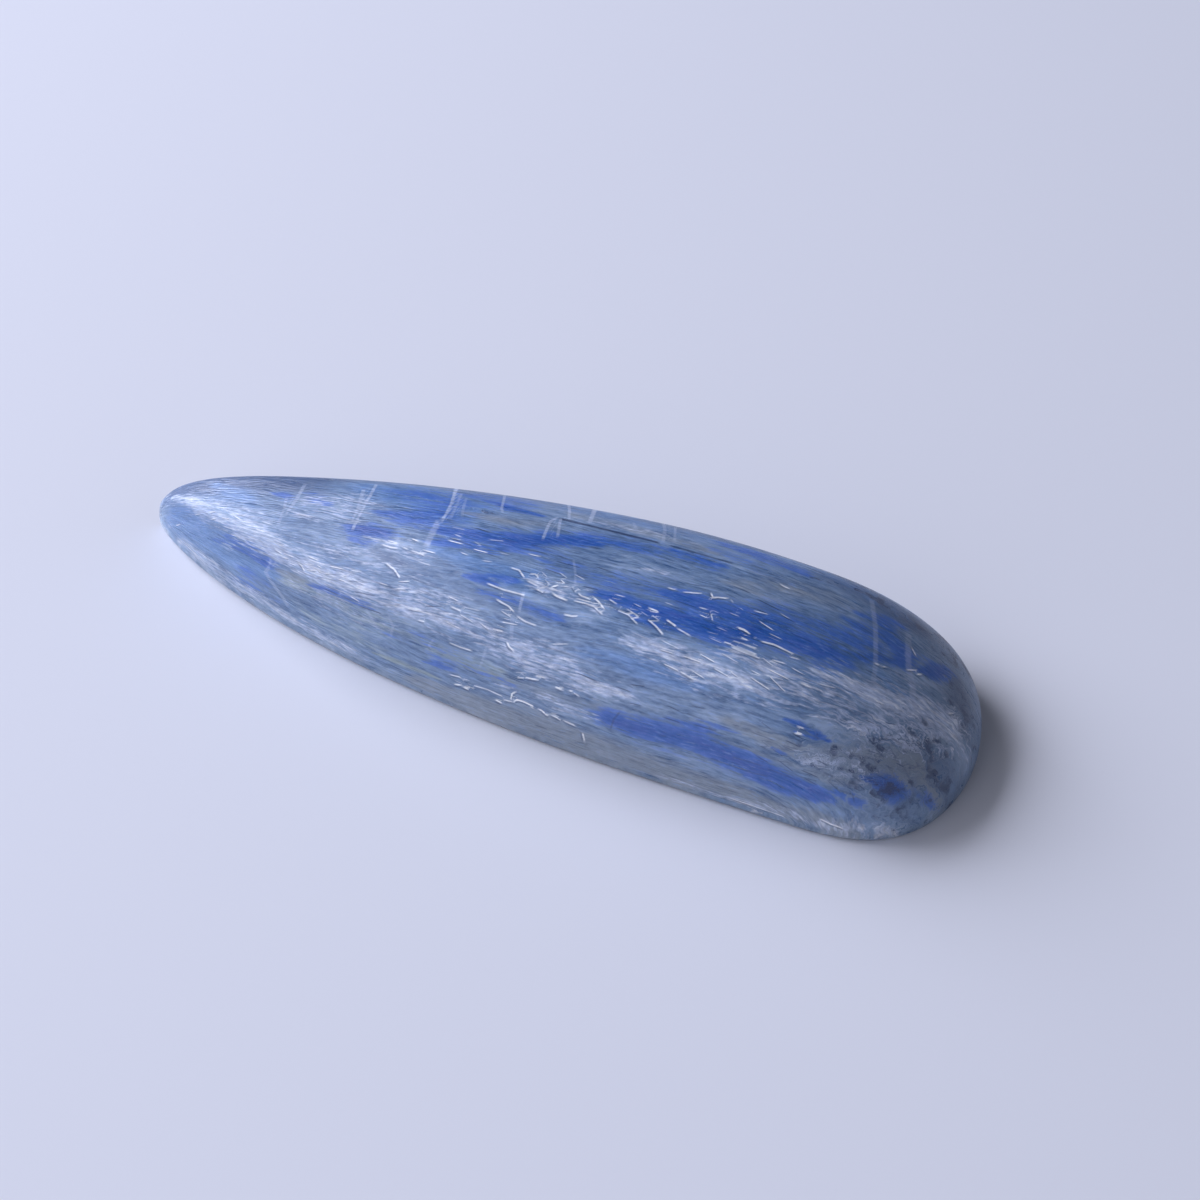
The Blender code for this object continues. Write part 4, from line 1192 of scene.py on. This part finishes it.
@dataclass
class KyaniteCabochon:
    """The whole stone: its skin, the marks on it, its relief and its finish.

    Attributes:
        finish: the stone's material.
        skin: the fine surface.
        askew: turn of the fibres from the stone's own length, in degrees.
        flank_start: fibre coordinate of the girdle.
        flank_blend: shares of the way round where the fibres begin and end to follow the edge.
        end_blend: places along the stone where the fibres begin and end to run straight out of it.
        end_spread: fibre coordinate there for each length across.
        upright_share: how fast the fibre coordinate changes with height.
        brush_squeeze: share that lengths along the stone count for in brush strokes.
        ripple_depth: depth of the ripples that hand polishing left between hard and soft fibres.
        sway_depth: depth of the slow unevenness of a hand-ground dome.
        nick_depth: depth of the deepest nick.
        swarm_half_width: half width of a line in a swarm.
        swarm_gap: least distance between two lines of a swarm.
        line_fade: distance over which a line's field fades, about the size of a mesh face.
    """

    finish: FibrousKyanite
    skin: StoneSkin
    askew: float = 2.5
    flank_start: float = 10.8
    flank_blend: tuple[float, float] = (0.1, 1.0)
    end_blend: tuple[float, float] = (15.0, 22.0)
    end_spread: float = 1.05
    upright_share: float = 0.2
    brush_squeeze: float = 0.45
    ripple_depth: float = 0.010
    sway_depth: float = 0.030
    nick_depth: float = 0.025
    swarm_half_width: float = 0.032
    swarm_gap: float = 0.36
    line_fade: float = 0.12

    def build(self) -> bpy.types.Object:
        """Makes the stone's object, dressed, riding and standing in for its solid.

        Returns:
            The stone.
        """
        mesh = bpy.data.meshes.new("kyanite_stone")
        mesh.from_pydata((self.skin.points * MM).tolist(), [], self.skin.faces())
        mesh.update()
        cracks = self.line_fields("crack", self.placed(CRACKS))[0]
        partings = self.line_fields("parting", self.placed(PARTINGS) + self.swarming(DASH_SWARMS))[0]
        nicks, grooves = self.line_fields("nick", self.placed(NICKS) + self.swarming(NICK_SWARMS))
        self.carve(mesh, grooves)
        fields = self.tint_fields() | cracks | partings | nicks
        for name, values in fields.items():
            layer = mesh.attributes.new(name, "FLOAT", "POINT")
            layer.data.foreach_set("value", values.astype(np.float32))
        layer = mesh.attributes.new("fibre", "FLOAT_VECTOR", "POINT")
        layer.data.foreach_set("vector", self.fibres().astype(np.float32).ravel())
        mesh.shade_smooth()
        mesh.materials.append(self.finish.make())
        stone = bpy.data.objects.new("kyanite_stone", mesh)
        bpy.context.scene.collection.objects.link(stone)
        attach(stone, "root")
        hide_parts(STONE_NODE)
        log.info("stone: %d faces", len(mesh.polygons))
        return stone

    def fibres(self) -> np.ndarray:
        """Fibre coordinates of every point: along, round and up, in millimetres.

        On top the fibres run straight along the stone, a little askew. Down the flanks, which cut
        them at a slant, they follow the edge.
        """
        v = self.skin.places[:, 1]
        round_crest = self.skin.charts[:, 1]
        above_edge = np.sign(v) * (self.flank_start - self.skin.girths * (1.0 - np.abs(v)))
        flank = smooth_step(*self.flank_blend, np.abs(v)) * (1.0 - self.skin.on_back)
        askew = self.skin.points[:, 0] * math.tan(math.radians(self.askew))
        across = (round_crest - askew) * (1.0 - flank) + above_edge * flank
        ending = smooth_step(*self.end_blend, self.skin.points[:, 0]) * (1.0 - self.skin.on_back)
        across += (self.end_spread * self.skin.points[:, 1] - askew * (1.0 - flank) - across) * ending
        up = self.skin.points[:, 2] * self.upright_share
        return np.stack([self.skin.points[:, 0], across, up], axis=1)

    def tint_fields(self) -> dict[str, np.ndarray]:
        """Strength of each tint at every point, and where the ground back is."""
        fields = {tint.value: np.zeros(len(self.skin.points)) for tint in Tint}
        below = self.skin.on_back > 0.5
        for patch in PATCHES:
            on_back = patch.side is Side.BACK
            locate = self.skin.back_place if on_back else self.skin.chart_place
            path = np.array([(*locate(x, v), width) for x, v, width in patch.path])
            ratios = brush_ratios(self.skin.charts, path, self.brush_squeeze)
            values = patch.strength * np.exp(-0.8 * ratios**2)
            values[below != on_back] = 0.0
            fields[patch.tint.value] = np.maximum(fields[patch.tint.value], values)
        fields["back"] = self.skin.on_back * smooth_step(0.2, 0.0, self.skin.points[:, 2])
        return fields

    def placed(self, lines: Sequence[Line]) -> list[tuple[np.ndarray, float, float]]:
        """Lines as chart paths, each with its half width and strength."""
        return [
            (np.array([self.skin.chart_place(x, v) for x, v in line.path]), line.half_width, line.strength)
            for line in lines
        ]

    def swarming(self, swarms: Sequence[LineSwarm]) -> list[tuple[np.ndarray, float, float]]:
        """The swarms' lines, each short and straight, with its half width and strength."""
        lines = []
        for swarm in swarms:
            draws = np.random.default_rng(swarm.seed)
            middle = np.array(self.skin.chart_place(*swarm.middle))
            taken = np.full((1, 2), np.inf)
            for _ in range(swarm.count):
                start = middle + draws.normal(0.0, 0.45, 2) * swarm.spread
                length = swarm.longest * draws.uniform(0.25, 1.0)
                slope = swarm.slope + draws.normal(0.0, 0.12)
                end = start + length * np.array([1.0, slope])
                shown = draws.uniform(0.35, 0.95)
                apart = np.abs(taken - (start + end) / 2.0) / (swarm.longest + self.swarm_gap, self.swarm_gap)
                if apart.max(axis=1).min() > 1.0:
                    taken = np.concatenate([taken, [(start + end) / 2.0]])
                    lines.append((np.stack([start, end]), self.swarm_half_width, shown))
        return lines

    def line_fields(
        self, name: str, lines: Sequence[tuple[np.ndarray, float, float]]
    ) -> tuple[dict[str, np.ndarray], np.ndarray]:
        """Fields that draw one kind of fine line.

        Args:
            name: the kind's name.
            lines: chart paths with half widths and strengths.

        Returns:
            The side distance in half widths and the strength at every point, by field name, and
            how deep each point lies in a line, 0 to 1.
        """
        dome = self.skin.on_back < 0.5
        charts = self.skin.charts[dome]
        nearest = np.full(len(charts), 0.6)
        second = np.full(len(charts), 0.6)
        across = np.full(len(charts), 12.0)
        strength = np.zeros(len(charts))
        depth = np.zeros(len(charts))
        for path, half_width, shown in lines:
            low, high = path.min(axis=0) - 0.7, path.max(axis=0) + 0.7
            close = np.flatnonzero(np.all((charts > low) & (charts < high), axis=1))
            gaps, sides, beyond = line_offsets(charts[close], path)
            nearer = gaps < nearest[close]
            second[close] = np.minimum(second[close], np.where(nearer, nearest[close], gaps))
            rows = close[nearer]
            nearest[rows] = gaps[nearer]
            across[rows] = np.clip(sides[nearer] / half_width, -12.0, 12.0)
            close_by = (1.35 * half_width + 2.0 * self.line_fade - gaps[nearer]) / self.line_fade
            strength[rows] = shown * np.clip(1.4 - beyond[nearer] / 0.14, 0.0, 1.0) * np.clip(close_by, 0.0, 1.0)
            groove = shown * np.exp(-((gaps / (1.5 * half_width + 0.05)) ** 2))
            depth[close] = np.maximum(depth[close], groove)
        strength *= np.clip((second - nearest - 0.08) / 0.08, 0.0, 1.0)
        fields = {name + "_across": np.full(len(dome), 12.0), name + "_strength": np.zeros(len(dome))}
        fields[name + "_across"][dome] = across
        fields[name + "_strength"][dome] = strength
        deep = np.zeros(len(dome))
        deep[dome] = depth
        return fields, deep

    def carve(self, mesh: bpy.types.Mesh, grooves: np.ndarray) -> None:
        """Presses the relief into the dome: nicks, fibre ripples and slow unevenness.

        Args:
            mesh: the stone's mesh.
            grooves: how deep each point lies in a nick, 0 to 1.
        """
        normals = np.empty(len(mesh.vertices) * 3, dtype=np.float32)
        mesh.vertex_normals.foreach_get("vector", normals)
        ripple_scale = np.array([1.0 / 5.0, 1.0 / 0.7, 1.0 / 0.7])
        sway_scale = np.array([1.0 / 9.0, 1.0 / 4.0, 1.0 / 4.0])
        ripple = np.array([noise.noise(Vector(p)) for p in self.fibres() * ripple_scale])
        sway = np.array([noise.noise(Vector(p)) for p in self.skin.points * sway_scale])
        depth = self.ripple_depth * (1.0 + ripple) / 2.0 + self.sway_depth * (1.0 + sway) / 2.0
        depth += self.nick_depth * grooves
        depth *= 1.0 - self.skin.on_back
        points = self.skin.points - normals.reshape(-1, 3) * depth[:, None]
        mesh.vertices.foreach_set("co", (points * MM).astype(np.float32).ravel())
        mesh.update()


@dataclass(frozen=True)
class MattePaper:
    """Uncoated pale paper board: rolled smooth, so the eye gets an even, glareless ground."""

    name: str = "paper_board_uncoated"
    sheet: str = "#e6e6e8"
    roughness: float = 0.9
    ior: float = 1.45

    def make(self) -> bpy.types.Material:
        """Builds the material.

        Returns:
            The finished material.
        """
        material = bpy.data.materials.new(self.name)
        material.use_nodes = True
        shader = material.node_tree.nodes["Principled BSDF"]
        shader.inputs["Base Color"].default_value = linear(self.sheet)
        shader.inputs["Roughness"].default_value = self.roughness
        shader.inputs["IOR"].default_value = self.ior
        return material


@dataclass
class Floor:
    """The plain pale ground that the stone lies on.

    Attributes:
        finish: the ground's material.
        half_side: half of its side, in metres.
        height: its height, in metres.
    """

    finish: MattePaper
    half_side: float = 2.0
    height: float = 0.0

    def build(self) -> bpy.types.Object:
        """Makes the ground."""
        mesh = bpy.data.meshes.new("floor")
        side = self.half_side
        corners = [(-side, -side), (side, -side), (side, side), (-side, side)]
        mesh.from_pydata([(x, y, self.height) for x, y in corners], [], [(0, 1, 2, 3)])
        mesh.materials.append(self.finish.make())
        floor = bpy.data.objects.new("floor", mesh)
        bpy.context.scene.collection.objects.link(floor)
        return floor


@dataclass
class Viewpoint:
    """The camera, looking down on the stone from the near side of its round end.

    Attributes:
        aim: the point on the ground in the middle of the picture.
        azimuth: the camera's turn from straight in front, in degrees.
        elevation: its height above the horizon, in degrees.
        distance: distance from the camera to the aim.
        field_of_view: angle that the picture takes in, in degrees.
    """

    aim: tuple[float, float, float] = (1.64, 4.36, 0.0)
    azimuth: float = 22.15
    elevation: float = 47.0
    distance: float = 134.57
    field_of_view: float = 30.0

    def direction(self, azimuth: float, elevation: float) -> Vector:
        """Unit vector from the stone towards an azimuth and elevation in degrees."""
        turn = math.radians(azimuth)
        rise = math.radians(elevation)
        level = math.cos(rise)
        return Vector((level * math.sin(turn), -level * math.cos(turn), math.sin(rise)))

    def build(self) -> bpy.types.Object:
        """Makes the camera and gives it to the scene."""
        data = bpy.data.cameras.new("camera")
        data.angle = math.radians(self.field_of_view)
        data.clip_start = 0.005
        camera = bpy.data.objects.new("camera", data)
        towards = self.direction(self.azimuth, self.elevation)
        camera.location = (Vector(self.aim) + towards * self.distance) * MM
        camera.rotation_euler = towards.to_track_quat("Z", "Y").to_euler()
        bpy.context.scene.collection.objects.link(camera)
        bpy.context.scene.camera = camera
        return camera


@dataclass
class SoftPanel:
    """One evenly bright rectangle that lights the stone: a window, or the pale wall under it.

    Attributes:
        name: name of the panel.
        left_turn: how far left of the camera it stands, in degrees.
        elevation: height of its middle above the horizon, seen from the stone, in degrees.
        distance: its distance in metres.
        width: its width in metres.
        height: its height in metres.
        power: its power in watts.
        colour: colour of its light.
    """

    name: str
    left_turn: float
    elevation: float
    distance: float
    width: float
    height: float
    power: float
    colour: str = "#e3e8ff"

    def build(self, viewpoint: Viewpoint) -> bpy.types.Object:
        """Makes the panel, facing the stone.

        Args:
            viewpoint: the camera, from whose azimuth the panel's is counted.

        Returns:
            The lamp.
        """
        data = bpy.data.lights.new(self.name, "AREA")
        data.shape = "RECTANGLE"
        data.size = self.width
        data.size_y = self.height
        data.energy = self.power
        data.color = linear(self.colour)[:3]
        lamp = bpy.data.objects.new(self.name, data)
        towards = viewpoint.direction(viewpoint.azimuth - self.left_turn, self.elevation)
        lamp.location = towards * self.distance
        lamp.rotation_euler = towards.to_track_quat("Z", "Y").to_euler()
        bpy.context.scene.collection.objects.link(lamp)
        return lamp


@dataclass
class RoomLight:
    """A plain room: daylight from a window, its pale wall, and a dim even glow from all round."""

    window: SoftPanel = field(
        default_factory=lambda: SoftPanel("window", 117.0, 32.0, 0.70, 0.60, 0.42, 7.9)
    )
    wall: SoftPanel = field(default_factory=lambda: SoftPanel("pale_wall", -60.0, 30.0, 0.60, 0.60, 0.40, 0.45))
    near_wall: SoftPanel = field(default_factory=lambda: SoftPanel("near_wall", 55.0, 28.0, 0.60, 0.60, 0.40, 1.3))
    glow_colour: str = "#dfe4ff"
    glow: float = 0.06

    def build(self, viewpoint: Viewpoint) -> None:
        """Makes both panels and the even glow.

        Args:
            viewpoint: the camera, from whose azimuth the panels' are counted.
        """
        self.window.build(viewpoint)
        self.wall.build(viewpoint)
        self.near_wall.build(viewpoint)
        world = bpy.data.worlds.new("room")
        world.use_nodes = True
        ground = world.node_tree.nodes["Background"]
        ground.inputs["Color"].default_value = linear(self.glow_colour)
        ground.inputs["Strength"].default_value = self.glow
        bpy.context.scene.world = world


def stone_form() -> TeardropForm:
    """The stone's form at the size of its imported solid, a hair inside its box."""
    low, high = (np.array(corner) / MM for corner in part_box(STONE_NODE))
    hair = 0.002
    size = high - low - hair
    return TeardropForm(length=float(size[0]), half_width=float(size[1]) / 2.0, height=float(size[2]))


def main() -> None:
    """Builds the stone, the ground, the camera and the light."""
    logging.basicConfig(level=logging.INFO, format="%(name)s: %(message)s")
    viewpoint = Viewpoint()
    viewpoint.build()
    log.info("camera placed")
    RoomLight().build(viewpoint)
    log.info("light placed")
    Floor(MattePaper()).build()
    log.info("floor laid")
    KyaniteCabochon(FibrousKyanite(), StoneSkin(stone_form())).build()
    bpy.context.scene.view_settings.view_transform = "Standard"


if __name__ == "__main__":
    main()
